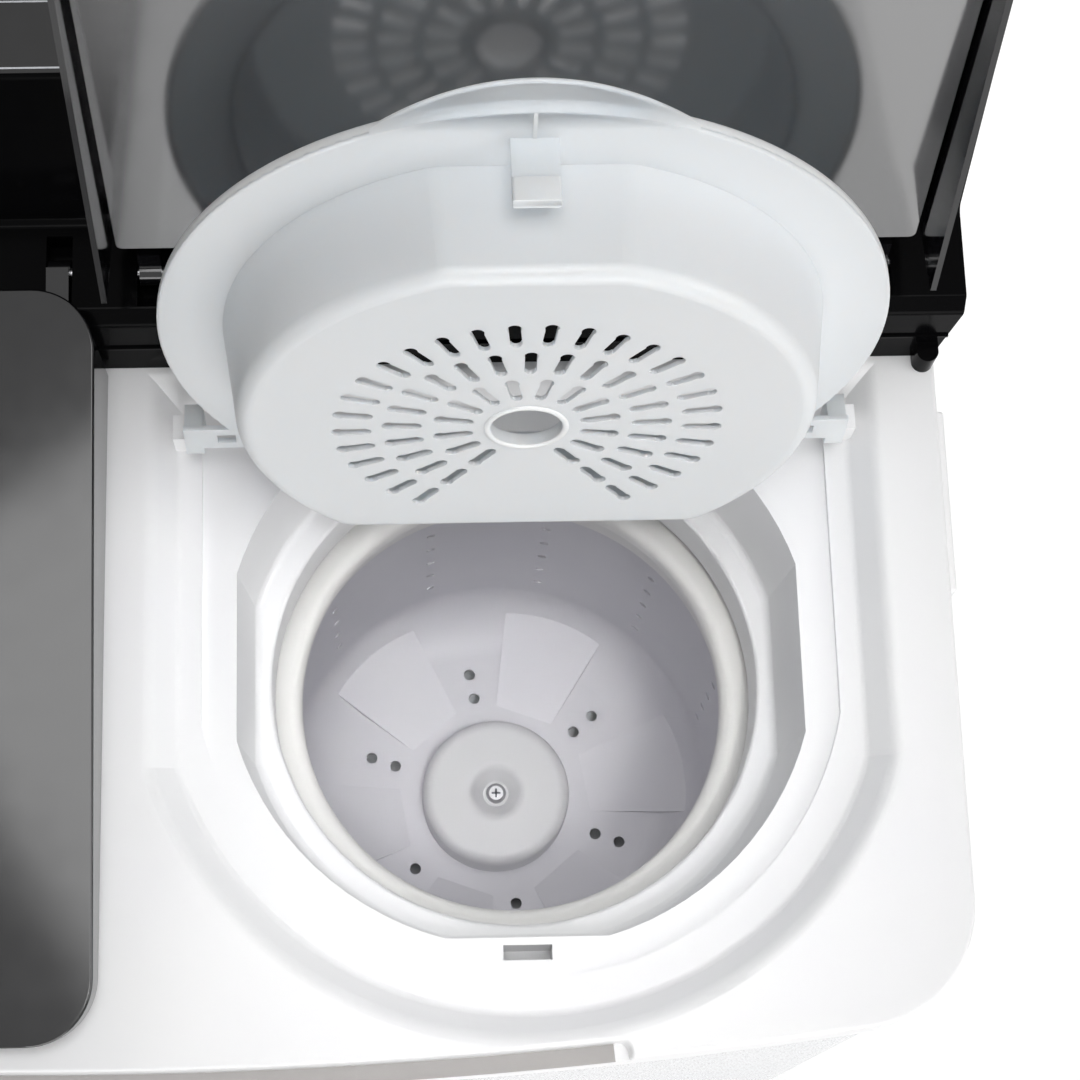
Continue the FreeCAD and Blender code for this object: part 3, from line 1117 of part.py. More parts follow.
node("basket_cap", rounded(cap, "dimple_round", round_at(CAP_TOP, "cap_dimple")))
node("cap_screw", turned([("0", "0"), ("3", "0"), ("3", "18"), ("7", "18"), ("7", "21"), ("5", "22.5"),
                          ("0", "22.5")], SX, SY, CAP_TOP + " - 29"))
SHAFT_FOOT = "spin_motor_foot + 16"
SHAFT_TOP = BASKET_FLOOR + " + cap_height - 15"
spin_shaft = rod(SX, SY, SHAFT_FOOT, "spin_shaft", "%s - (%s)" % (SHAFT_TOP, SHAFT_FOOT))
node("spin_shaft", cut(spin_shaft, rod(SX, SY, SHAFT_TOP + " - 16", "3 + pin_play", "20")))
node("basket_hub", turned([(bore, "0"), ("hub_sleeve", "0"), ("hub_sleeve", "hub_length"),
                           ("hub_radius", "hub_length"), ("hub_radius", "hub_length + hub_thick"),
                           (bore, "hub_length + hub_thick")],
                          SX, SY, BASKET_FOOT + " - hub_length - hub_thick"))
BEARING_FOOT = TUB_FOOT + " - 12 - bearing_length"
node("spin_bearing", turned([(bore, "0"), ("bearing_radius", "0"), ("bearing_radius", "bearing_length"),
                             (bore, "bearing_length")], SX, SY, BEARING_FOOT))
lift_seal = "bearing_length + 12"
node("shaft_bellows", turned([("bearing_radius", "4"), ("bearing_radius + 4", "4"),
                              ("bearing_radius + 4", "16"), ("seal_radius - 6", "bearing_length"),
                              ("seal_radius + 8", lift_seal + " - 4"),
                              ("seal_radius + 8", lift_seal), ("seal_radius - 8", lift_seal),
                              ("bearing_radius", "bearing_length - 6")], SX, SY, BEARING_FOOT))
MOTOR_TOP = "spin_motor_foot + spin_motor_height"
DRUM_FOOT = MOTOR_TOP + " + plate_thick + 8"
node("brake_drum", turned([(bore, "0"), ("drum_radius", "0"), ("drum_radius", "drum_height"),
                           (bore, "drum_height")], SX, SY, DRUM_FOOT))
motor_bore = "spin_shaft + shaft_play"
node("spin_motor", turned([(motor_bore, "0"), ("spin_motor_radius - 14", "0"), ("spin_motor_radius", "14"),
                           ("spin_motor_radius", "spin_motor_height - 14"),
                           ("spin_motor_radius - 14", "spin_motor_height"), (motor_bore, "spin_motor_height")],
                          SX, SY, "spin_motor_foot"))
mount = cut(rod(SX, SY, "spin_motor_foot - plate_thick", "plate_radius", "plate_thick"),
            rod(SX, SY, "spin_motor_foot - plate_thick - 1", "20", "plate_thick + 2"))
node("spin_motor_plate", mount)
springs = []
for angle in (30, 150, 270):
    c = math.cos(math.radians(angle))
    s = math.sin(math.radians(angle))
    springs.append(rod("spin_x + spring_reach * %.6f" % c, "spin_y + spring_reach * %.6f" % s,
                       "foot_height + base_floor", "spring_radius",
                       "spin_motor_foot - plate_thick - foot_height - base_floor"))
node("motor_springs", group(*springs))
pivot_x = "spin_x + brake_reach"
carrier = cut(rod(SX, SY, MOTOR_TOP, "brake_reach + 12", "plate_thick"),
              rod(SX, SY, MOTOR_TOP + " - 1", "spin_shaft + 6", "plate_thick + 2"))
node("brake_plate", fuse(carrier, rod(pivot_x, SY, MOTOR_TOP, "brake_pin", "plate_thick + lever_thick + 8")))
lever_z = DRUM_FOOT + " - 4"
arm = box(pivot_x + " - 9", pivot_x + " + 9", "spin_y - 46", "spin_y + 70", lever_z, lever_z + " + lever_thick")
shoe = box("spin_x + 26", pivot_x, "spin_y - 46", "spin_y - 26", lever_z, lever_z + " + lever_thick + 8")
lever = cut(fuse(arm, shoe), rod(SX, SY, MOTOR_TOP, "drum_radius + shoe_gap", "100"),
            rod(pivot_x, SY, MOTOR_TOP, "brake_pin + pin_play", "100"))
node("brake_lever", lever)

# Wash side: tub, pulsator, bearing, belt drive and motor.
WX = "wash_x"
WY = "wash_y"


def tub_block(grow, foot, head, radius):
    """The wash tub's plan, grown, with a rounded foot."""
    solid = slab("wash_x - wash_half_x - (%s)" % grow, "wash_x + wash_half_x + (%s)" % grow,
                 "wash_y - wash_half_y - (%s)" % grow, "wash_y + wash_half_y + (%s)" % grow,
                 "wash_corner + (%s)" % grow, foot, head)
    return rounded(solid, radius, flat_at(foot))


tub_skin = tub_block("tub_set_back + tub_wall", "tub_floor", "deck_height - wash_rim_drop - deck_wall",
                     "tub_round")
tub_room = tub_block("tub_set_back", "tub_floor + tub_floor_thick", "deck_height + 1", "tub_round - tub_wall")
tub_lip = slab("wash_x - wash_half_x - tub_flange", "wash_x + wash_half_x + tub_flange",
               "wash_y - wash_half_y - tub_flange", "wash_y + wash_half_y + tub_flange",
               "wash_corner + tub_flange", "deck_height - wash_rim_drop - 2 * deck_wall",
               "deck_height - wash_rim_drop - deck_wall")
WASH_DRAIN_X = "wash_x - wash_drain_reach"
WASH_DRAIN_Y = "wash_y + wash_drain_reach"
tub_holes = [rod(WX, WY, "tub_floor - 1", "wash_shaft + 6", "tub_floor_thick + 2"),
             rod(WASH_DRAIN_X, WASH_DRAIN_Y, "tub_floor - 1", "pipe_radius - pipe_wall", "tub_floor_thick + 2")]
node("wash_tub", cut(fuse(tub_skin, tub_lip), tub_room, *tub_holes))
TUB_TOP = "tub_floor + tub_floor_thick"
grille = rod(WASH_DRAIN_X, WASH_DRAIN_Y, TUB_TOP, "pipe_radius + 9", "3")
grille_gaps = [box(WASH_DRAIN_X + " - 14", WASH_DRAIN_X + " + 14", WASH_DRAIN_Y + " + %d" % (step * 8 - 2),
                   WASH_DRAIN_Y + " + %d" % (step * 8 + 2), TUB_TOP + " - 1", TUB_TOP + " + 4")
               for step in (-1, 0, 1)]
node("drain_grille", cut(grille, *grille_gaps))

PULSATOR_FOOT = TUB_TOP + " + pulsator_gap"
wash_bore = "wash_shaft + shaft_play"
disc = turned([(wash_bore, "0"), ("pulsator_radius - 4", "0"), ("pulsator_radius", "3"),
               ("pulsator_radius", "pulsator_thick"), ("pulsator_radius * 0.55", "pulsator_thick + 5"),
               ("40", "pulsator_hub - 6"), ("30", "pulsator_hub"), (wash_bore, "pulsator_hub")],
              WX, WY, PULSATOR_FOOT)
vanes = []
for index in range(int(num("vane_count"))):
    angle = 360.0 / num("vane_count") * index
    vane = fresh("Part::Ellipsoid", "vane")
    vane.Placement = FreeCAD.Placement(FreeCAD.Vector(), FreeCAD.Rotation(UP, angle))
    tie(vane, Radius1="22", Radius2="pulsator_radius / 2 - 8", Radius3="11")
    reach = "(pulsator_radius / 2 + 4)"
    vanes.append(place(vane, "wash_x + %s * %.6f" % (reach, math.cos(math.radians(angle))),
                       "wash_y + %s * %.6f" % (reach, math.sin(math.radians(angle))),
                       PULSATOR_FOOT + " + pulsator_thick"))
vane_limit = rod(WX, WY, PULSATOR_FOOT + " + 2", "pulsator_radius - 3", "60")
vane_set = cut(common(fuse(*vanes), vane_limit), rod(WX, WY, PULSATOR_FOOT, wash_bore, "80"))
node("pulsator", fuse(disc, vane_set))
HOUSING_FOOT = "tub_floor - housing_length"
PULLEY_FOOT = HOUSING_FOOT + " - 8 - pulley_height"
wash_top = PULSATOR_FOOT + " + pulsator_hub"
shaft = rod(WX, WY, PULLEY_FOOT, "wash_shaft", "%s - (%s)" % (wash_top, PULLEY_FOOT))
node("pulsator_shaft", cut(shaft, rod(WX, WY, wash_top + " - 14", "3 + pin_play", "20")))
node("pulsator_screw", turned([("0", "0"), ("3", "0"), ("3", "12"), ("11", "12"), ("11", "15"), ("8", "17"),
                               ("0", "17")], WX, WY, wash_top + " - 12"))
node("wash_bearing_housing", turned([(wash_bore, "0"), ("housing_radius", "0"),
                                     ("housing_radius", "housing_length - housing_thick"),
                                     ("housing_flange", "housing_length - housing_thick"),
                                     ("housing_flange", "housing_length"), (wash_bore, "housing_length")],
                                    WX, WY, HOUSING_FOOT))


def pulley(radius, hole, x, y):
    """A pulley with one groove for the belt."""
    low = "(pulley_height - belt_height) / 2 - 1"
    high = "(pulley_height + belt_height) / 2 + 1"
    edge = radius + " + groove_depth"
    return turned([(hole, "0"), (edge, "0"), (edge, low), (radius, low), (radius, high), (edge, high),
                   (edge, "pulley_height"), (hole, "pulley_height")], x, y, PULLEY_FOOT)


node("wash_pulley", pulley("pulley_radius", wash_bore, WX, WY))
MX = "wash_x + wash_motor_dx"
MY = "wash_y + wash_motor_dy"
motor_hole = "motor_shaft + shaft_play"
node("motor_pulley", pulley("motor_pulley_radius", motor_hole, MX, MY))
BRACKET_Z = "tub_floor - housing_thick - bracket_thick"
WASH_MOTOR_TOP = BRACKET_Z
motor_foot = WASH_MOTOR_TOP + " - wash_motor_height"
node("wash_motor_shaft", rod(MX, MY, PULLEY_FOOT, "motor_shaft", "%s + 20 - (%s)" % (motor_foot, PULLEY_FOOT)))
node("wash_motor", cut(turned([("0", "0"), ("wash_motor_radius - 12", "0"), ("wash_motor_radius", "12"),
                               ("wash_motor_radius", "wash_motor_height - 12"),
                               ("wash_motor_radius - 12", "wash_motor_height"), ("0", "wash_motor_height")],
                              MX, MY, motor_foot),
                       rod(MX, MY, motor_foot + " - 1", motor_hole, "24")))
strut = box("0", "sqrt(wash_motor_dx * wash_motor_dx + wash_motor_dy * wash_motor_dy)", "-30", "30", "0",
            "bracket_thick")
turn(strut, UP, "atan2(wash_motor_dy; wash_motor_dx)")
place(strut, "wash_x + 30 * sin(atan2(wash_motor_dy; wash_motor_dx))",
      "wash_y - 30 * cos(atan2(wash_motor_dy; wash_motor_dx))", BRACKET_Z)
bracket = fuse(rod(WX, WY, BRACKET_Z, "housing_flange", "bracket_thick"), strut,
               rod(MX, MY, BRACKET_Z, "wash_motor_radius - 6", "bracket_thick"))
housing_eye = rod(WX, WY, BRACKET_Z + " - 1", "housing_radius + fit_gap", "bracket_thick + 2")
node("wash_motor_bracket", cut(bracket, housing_eye))


def belt_loop(large, small):
    """A flat face inside a belt that runs round two pulleys."""
    x1, y1, x2, y2 = num(WX), num(WY), num(MX), num(MY)
    apart = math.hypot(x2 - x1, y2 - y1)
    along = math.atan2(y2 - y1, x2 - x1)
    open_angle = math.acos((large - small) / apart)
    vec = FreeCAD.Vector

    def on(x, y, r, angle):
        return vec(x + r * math.cos(angle), y + r * math.sin(angle), 0)

    a = on(x1, y1, large, along + open_angle)
    b = on(x1, y1, large, along + math.pi)
    c = on(x1, y1, large, along - open_angle)
    d = on(x2, y2, small, along - open_angle)
    e = on(x2, y2, small, along)
    f = on(x2, y2, small, along + open_angle)
    edges = [Part.Arc(a, b, c).toShape(), Part.LineSegment(c, d).toShape(), Part.Arc(d, e, f).toShape(),
             Part.LineSegment(f, a).toShape()]
    return Part.Face(Part.Wire(edges))


ring_face = belt_loop(num("pulley_radius + belt_gap + belt_thick"),
                      num("motor_pulley_radius + belt_gap + belt_thick"))
hole_face = belt_loop(num("pulley_radius + belt_gap"), num("motor_pulley_radius + belt_gap"))
belt = fresh("Part::Feature", "belt")
belt.Shape = ring_face.cut(hole_face).extrude(FreeCAD.Vector(0, 0, num("belt_height")))
belt.setExpression("Placement.Base.z", bound(PULLEY_FOOT + " + (pulley_height - belt_height) / 2"))
node("drive_belt", belt)

# Lint filter in its rails on the rear wall of the wash tub.
WALL_Y = "wash_y + wash_half_y + tub_set_back"
filter_front = WALL_Y + " - filter_play - filter_depth"
filter_back = WALL_Y + " - filter_play"
frame = box("wash_x - filter_width / 2", "wash_x + filter_width / 2", filter_front, filter_back,
            "filter_low", "filter_low + filter_height")
pouch = box("wash_x - filter_width / 2 + 3", "wash_x + filter_width / 2 - 3", filter_front + " + 3",
            filter_back + " - 3", "filter_low + 4", "filter_low + filter_height + 1")
mesh_slots = [box("wash_x + %d" % (step * 11 - 3), "wash_x + %d" % (step * 11 + 3), filter_front + " - 1",
                  filter_front + " + 4", "filter_low + 14", "filter_low + filter_height - 24")
              for step in range(-3, 4)]
node("lint_filter", cut(frame, pouch, *mesh_slots))
rails = []
for side in ("-1", "1"):
    edge = "wash_x + %s * (filter_width / 2 + filter_play + rail_thick / 2)" % side
    lip_at = "wash_x + %s * (filter_width / 2 + filter_play + rail_thick - 5)" % side
    low_z = "filter_low - 6"
    high_z = "filter_low + filter_height + 4"
    cheek = box(edge + " - rail_thick / 2", edge + " + rail_thick / 2",
                filter_front + " - filter_play - rail_thick", WALL_Y, low_z, high_z)
    lip_bar = box(lip_at + " - 5", lip_at + " + 5", filter_front + " - filter_play - rail_thick",
                  filter_front + " - filter_play", low_z, high_z)
    stop = box(lip_at + " - 5", lip_at + " + 5", filter_front + " - filter_play - rail_thick", WALL_Y,
               low_z, "filter_low - filter_play")
    rails.append(fuse(cheek, lip_bar, stop))
node("lint_filter_rails", group(*rails))

# Drain: valve behind the wash tub, its plunger and rod, the pipes and the outlet.
DX = "drain_x"
DY = "drain_y"
valve_in = "valve_radius - valve_wall"
seat_hole = "pipe_radius - pipe_wall"
valve = turned([(seat_hole, "0"), ("valve_radius", "0"), ("valve_radius", "valve_height"),
                ("rod_radius + shaft_play", "valve_height"),
                ("rod_radius + shaft_play", "valve_height - valve_wall"),
                (valve_in, "valve_height - valve_wall"), (valve_in, "valve_wall"), (seat_hole, "valve_wall")],
               DX, DY, "drain_foot")
WASH_PIPE_Z = "drain_foot + valve_height - 24"
side_port = rod(DX, DY + " - valve_radius - 5", WASH_PIPE_Z, seat_hole, "valve_radius", "Y")
node("drain_valve", cut(valve, side_port))
plug = rod(DX, DY, "drain_foot + valve_wall + 0.3", "plunger_radius", "8")
pull = rod(DX, DY, "drain_foot + valve_wall + 2", "rod_radius", "deck_height + 24 - drain_foot - valve_wall")
node("drain_plunger", fuse(plug, pull))


def pipe(*runs):
    """A bent pipe of straight runs."""
    outside_runs = []
    inside_runs = []
    for x, y, z, length, axis, start, end in runs:
        outside_runs.append(rod(x, y, z, "pipe_radius", length, axis))
        shift = {"X": (start, "0", "0"), "Y": ("0", start, "0"), "Z": ("0", "0", start)}[axis]
        inside_runs.append(rod("%s - %s" % (x, shift[0]), "%s - %s" % (y, shift[1]), "%s - %s" % (z, shift[2]),
                               "pipe_radius - pipe_wall", "%s + %s + %s" % (length, start, end), axis))
    return cut(fuse(*outside_runs), *inside_runs)


KNEE = "(pipe_radius - pipe_wall)"
wash_pipe = pipe((WASH_DRAIN_X, WASH_DRAIN_Y, WASH_PIPE_Z + " - pipe_radius",
                  "tub_floor - (%s) + pipe_radius" % WASH_PIPE_Z, "Z", "-pipe_wall", "1"),
                 (WASH_DRAIN_X, WASH_DRAIN_Y, WASH_PIPE_Z,
                  "drain_y - valve_radius + 8 - (%s)" % WASH_DRAIN_Y, "Y", "0", "1"))
valve_room = rod(DX, DY, "drain_foot - 1", "valve_radius + pin_play", "valve_height + 2")
node("wash_drain_pipe", cut(wash_pipe, valve_room))
SPIN_PIPE_Z = "drain_foot - 44"
spin_pipe = pipe((SPIN_DRAIN_X, SPIN_DRAIN_Y, SPIN_PIPE_Z + " - pipe_radius",
                  "%s - (%s) + pipe_radius" % (TUB_FOOT, SPIN_PIPE_Z), "Z", "-pipe_wall", "1"),
                 (SPIN_DRAIN_X, SPIN_DRAIN_Y, SPIN_PIPE_Z, "drain_y + pipe_radius - (%s)" % SPIN_DRAIN_Y, "Y",
                  "0", "-pipe_wall"),
                 ("drain_x + pipe_radius", DY, SPIN_PIPE_Z, "%s - drain_x - pipe_radius" % SPIN_DRAIN_X, "X",
                  "6", "0"))
node("spin_drain_pipe", cut(spin_pipe, rod(DX, DY, "100", "pipe_radius", "drain_foot")))
OUT_X = "-(deck_width / 2) + deck_wall + fit_gap"
down = rod(DX, DY, "outlet_height - outlet_radius", "pipe_radius", "drain_foot - outlet_height + outlet_radius")
across = rod(OUT_X, DY, "outlet_height", "outlet_neck", "drain_x - (%s)" % OUT_X, "X")
seat_ring = rod(OUT_X + " - outlet_flange", DY, "outlet_height", "outlet_lip", "outlet_flange", "X")
spout = rod(OUT_X + " - outlet_length", DY, "outlet_height", "outlet_radius",
            "outlet_length - outlet_flange / 2", "X")
down_in = rod(DX, DY, "outlet_height", "pipe_radius - pipe_wall", "drain_foot - outlet_height + 1")
across_in = rod(OUT_X + " - outlet_length - 1", DY, "outlet_height", "outlet_radius - pipe_wall",
                "drain_x - (%s) + outlet_length + 1" % OUT_X, "X")
branch = rod(DX, DY, SPIN_PIPE_Z, "pipe_radius - pipe_wall", "30", "X")
node("drain_outlet", cut(fuse(down, across, seat_ring, spout), down_in, across_in, branch))

gland = fuse(rod("gland_x", REAR_FACE + " - shell_wall - 6", "gland_height", "gland_radius",
                 "shell_wall + 8", "Y"),
             rod("gland_x", REAR_FACE, "gland_height", "gland_radius + 4", "3", "Y"))
gland_bore = rod("gland_x", REAR_FACE + " - shell_wall - 10", "gland_height", "gland_radius - 5", "30", "Y")
node("cord_gland", cut(gland, gland_bore))
node("capacitor", rod("capacitor_x", "capacitor_y", "foot_height + base_floor", "capacitor_radius",
                      "capacitor_height"))

doc.recompute()
failed = [obj.Name for obj in doc.Objects if "Invalid" in obj.State or "Error" in obj.State]
if failed:
    raise RuntimeError("not built: " + ", ".join(failed))
for obj in NODES:
    shape = obj.Shape
    if shape.isNull() or not shape.isValid():
        raise RuntimeError("bad shape: " + obj.Label)
for obj in NODES:
    obj.Shape.exportStep("parts/%s.step" % obj.Label)
    bounds = obj.Shape.BoundBox
    spread = (bounds.XMin, bounds.XMax, bounds.YMin, bounds.YMax, bounds.ZMin, bounds.ZMax)
    print(obj.Label, len(obj.Shape.Solids), round(obj.Shape.Volume / 1000.0, 1), [round(v, 1) for v in spread])
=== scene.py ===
"""Twin tub washing machine: finishes, fine pieces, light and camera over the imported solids."""

import logging
import math
from dataclasses import dataclass, field
from enum import Enum
from typing import Optional, Sequence

import bmesh
import bpy
from mathutils import Matrix, Vector


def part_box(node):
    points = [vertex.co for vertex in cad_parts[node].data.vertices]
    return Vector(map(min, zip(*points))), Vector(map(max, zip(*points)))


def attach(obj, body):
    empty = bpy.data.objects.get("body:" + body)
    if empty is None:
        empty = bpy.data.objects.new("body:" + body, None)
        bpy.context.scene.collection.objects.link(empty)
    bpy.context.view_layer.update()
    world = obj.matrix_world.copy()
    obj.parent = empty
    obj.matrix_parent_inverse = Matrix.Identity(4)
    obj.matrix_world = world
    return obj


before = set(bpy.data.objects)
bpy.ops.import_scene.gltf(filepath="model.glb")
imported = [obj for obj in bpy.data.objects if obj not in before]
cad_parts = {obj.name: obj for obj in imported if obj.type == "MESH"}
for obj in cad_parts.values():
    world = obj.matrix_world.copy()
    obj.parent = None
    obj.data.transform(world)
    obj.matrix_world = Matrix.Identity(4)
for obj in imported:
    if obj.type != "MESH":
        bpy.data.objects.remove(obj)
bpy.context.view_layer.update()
LOG = logging.getLogger("twin_tub")
MM = 0.001
# Points of a piece that lie closer than this become one.
WELD = 0.001 * MM
# Shape of a bevel that is a true quarter circle.
QUARTER_ROUND = 0.5
# How nearly a face has to point along an axis to count as facing that way.
FACING = 0.9
WHITE = (1.0, 1.0, 1.0, 1.0)


class Body(Enum):
    """The moving bodies that a piece can ride on."""

    CABINET = "cabinet"
    SPIN_LID = "spin_lid"
    INNER_LID = "inner_lid"
    WASH_LID = "wash_lid"
    SPIN_ROTOR = "spin_rotor"
    PULSATOR = "pulsator_rotor"
    WASH_TIMER = "wash_timer_dial"
    DRAIN_DIAL = "drain_dial"
    SPIN_TIMER = "spin_timer_dial"
    LINT_FILTER = "lint_filter"


class Slot(Enum):
    """The record's material slot names; no added piece is given one of them."""

    DECK = "deck_white"
    BASE = "base_grey"
    PANEL = "panel_black"
    KNOB = "knob_silver"
    LID = "lid_smoke"
    FROST = "inner_lid_frost"
    INNER = "inner_plastic"


class Grain(Enum):
    """How a surface was made, which decides the pattern of its bump."""

    SPARK = "fine spark-eroded mould"
    POLISHED = "polished mould"
    FROSTED = "blasted mould"
    BRUSHED = "brushed along one way"
    CAST = "sand cast"


# Levels of fine noise in each grain; the frosted one is made of cells instead.
GRAIN_DETAIL = {Grain.POLISHED: 0.0, Grain.SPARK: 2.0, Grain.BRUSHED: 3.0, Grain.CAST: 6.0}
EVEN_GRAIN = (1.0, 1.0, 1.0)
DRAWN_GRAIN = (1.0, 1.0, 0.02)
CLOUD_DETAIL = 3.0
# Where the slow drift of colour leaves its first tone and reaches its second.
DRIFT_FROM, DRIFT_TO = 0.35, 0.65
SMOOTHEST, ROUGHEST = 0.02, 1.0
COAT_ROUGHNESS = 0.06
# Light inside a pale resin goes a little further in blue than in red.
BLEED_TINT = (0.9, 1.0, 1.1)


def to_linear(code: str) -> tuple[float, float, float, float]:
    """Turns an sRGB hex colour into linear light.

    Args:
        code: six hex digits, with or without a leading hash.

    Returns:
        Red, green, blue and alpha in linear light.
    """
    digits = code.lstrip("#")
    out = []
    for at in (0, 2, 4):
        value = int(digits[at:at + 2], 16) / 255.0
        out.append(value / 12.92 if value <= 0.04045 else ((value + 0.055) / 1.055) ** 2.4)
    return out[0], out[1], out[2], 1.0


def add_node(tree: bpy.types.NodeTree, kind: str, values: Optional[dict] = None,
             links: Optional[dict] = None, **settings: object) -> bpy.types.Node:
    """Adds a node with its settings, its constant inputs and its incoming links.

    Args:
        tree: the node tree that gets the node.
        kind: Blender's name of the node type.
        values: constants by input name or index.
        links: output sockets by input name or index.
        settings: properties of the node itself.

    Returns:
        The new node.
    """
    made = tree.nodes.new(kind)
    for name, value in settings.items():
        setattr(made, name, value)
    for key, value in (values or {}).items():
        made.inputs[key].default_value = value
    for key, socket in (links or {}).items():
        tree.links.new(socket, made.inputs[key])
    return made


@dataclass(frozen=True)
class Finish:
    """A surface: its two close tones, its gloss, and the pattern its making left."""

    name: str
    tone: str
    drift: str
    grain: Grain = Grain.SPARK
    roughness: float = 0.4
    spread: float = 0.08
    ior: float = 1.49
    specular: float = 0.5
    metallic: float = 0.0
    grain_mm: float = 1.2
    depth_mm: float = 0.02
    cloud_mm: float = 120.0
    coat: float = 0.0
    transmission: float = 0.0
    subsurface: float = 0.0
    bleed_mm: float = 6.0
    thin_from_mm: float = 0.0
    thin_over_mm: float = 0.0
    thin_transmission: float = 0.0

    def material(self) -> bpy.types.Material:
        """Gives the finish's material, made the first time it is asked for."""
        ready = bpy.data.materials.get(self.name)
        return ready if ready else self.make()

    def make(self) -> bpy.types.Material:
        """Builds the node material of this finish.

        Returns:
            The new material.
        """
        made = bpy.data.materials.new(self.name)
        made.use_nodes = True
        tree = made.node_tree
        tree.nodes.clear()
        spot = add_node(tree, "ShaderNodeTexCoord")
        stretch = DRAWN_GRAIN if self.grain is Grain.BRUSHED else EVEN_GRAIN
        placed = add_node(tree, "ShaderNodeMapping", {"Scale": stretch}, {"Vector": spot.outputs["Object"]})
        cloud = add_node(tree, "ShaderNodeTexNoise", {"Scale": 1.0 / (self.cloud_mm * MM), "Detail": CLOUD_DETAIL},
                         {"Vector": spot.outputs["Object"]})
        ramp = add_node(tree, "ShaderNodeValToRGB", None, {"Fac": cloud.outputs["Fac"]})
        stops = ((DRIFT_FROM, self.drift), (DRIFT_TO, self.tone))
        for stop, (position, colour) in zip(ramp.color_ramp.elements, stops):
            stop.position = position
            stop.color = to_linear(colour)
        pits = self.pits(tree, placed.outputs["Vector"])
        gloss = add_node(tree, "ShaderNodeMapRange", {"To Min": max(SMOOTHEST, self.roughness - self.spread),
                                                      "To Max": min(ROUGHEST, self.roughness + self.spread)},
                         {"Value": pits})
        bump = add_node(tree, "ShaderNodeBump", {"Strength": 1.0, "Distance": self.depth_mm * MM}, {"Height": pits})
        shader = add_node(tree, "ShaderNodeBsdfPrincipled",
                          {"Metallic": self.metallic, "IOR": self.ior, "Specular IOR Level": self.specular,
                           "Coat Weight": self.coat, "Coat Roughness": COAT_ROUGHNESS,
                           "Transmission Weight": self.transmission, "Subsurface Weight": self.subsurface,
                           "Subsurface Scale": self.bleed_mm * MM, "Subsurface Radius": BLEED_TINT},
                          {"Base Color": ramp.outputs["Color"], "Roughness": gloss.outputs["Result"],
                           "Normal": bump.outputs["Normal"]})
        if self.thin_over_mm > 0.0:
            tree.links.new(self.clearness(tree, spot.outputs["Object"]), shader.inputs["Transmission Weight"])
        add_node(tree, "ShaderNodeOutputMaterial", None, {"Surface": shader.outputs["BSDF"]})
        return made

    def clearness(self, tree: bpy.types.NodeTree, place: bpy.types.NodeSocket) -> bpy.types.NodeSocket:
        """Adds the share of light let through, which grows where the part thins out upwards.

        Args:
            tree: the material's tree.
            place: the coordinates that the share reads.

        Returns:
            The share of light let through.
        """
        axes = add_node(tree, "ShaderNodeSeparateXYZ", None, {"Vector": place})
        share = add_node(tree, "ShaderNodeMapRange",
                         {"From Min": self.thin_from_mm * MM, "From Max": (self.thin_from_mm + self.thin_over_mm) * MM,
                          "To Min": self.transmission, "To Max": self.thin_transmission},
                         {"Value": axes.outputs["Z"]})
        return share.outputs["Result"]

    def pits(self, tree: bpy.types.NodeTree, place: bpy.types.NodeSocket) -> bpy.types.NodeSocket:
        """Adds the pattern that the making left on the surface.

        Args:
            tree: the material's tree.
            place: the coordinates that the pattern reads.

        Returns:
            The pattern's height, from 0 to 1.
        """
        scale = 1.0 / (self.grain_mm * MM)
        if self.grain is Grain.FROSTED:
            cells = add_node(tree, "ShaderNodeTexVoronoi", {"Scale": scale}, {"Vector": place})
            return cells.outputs["Distance"]
        noise = add_node(tree, "ShaderNodeTexNoise", {"Scale": scale, "Detail": GRAIN_DETAIL[self.grain]},
                         {"Vector": place})
        return noise.outputs["Fac"]


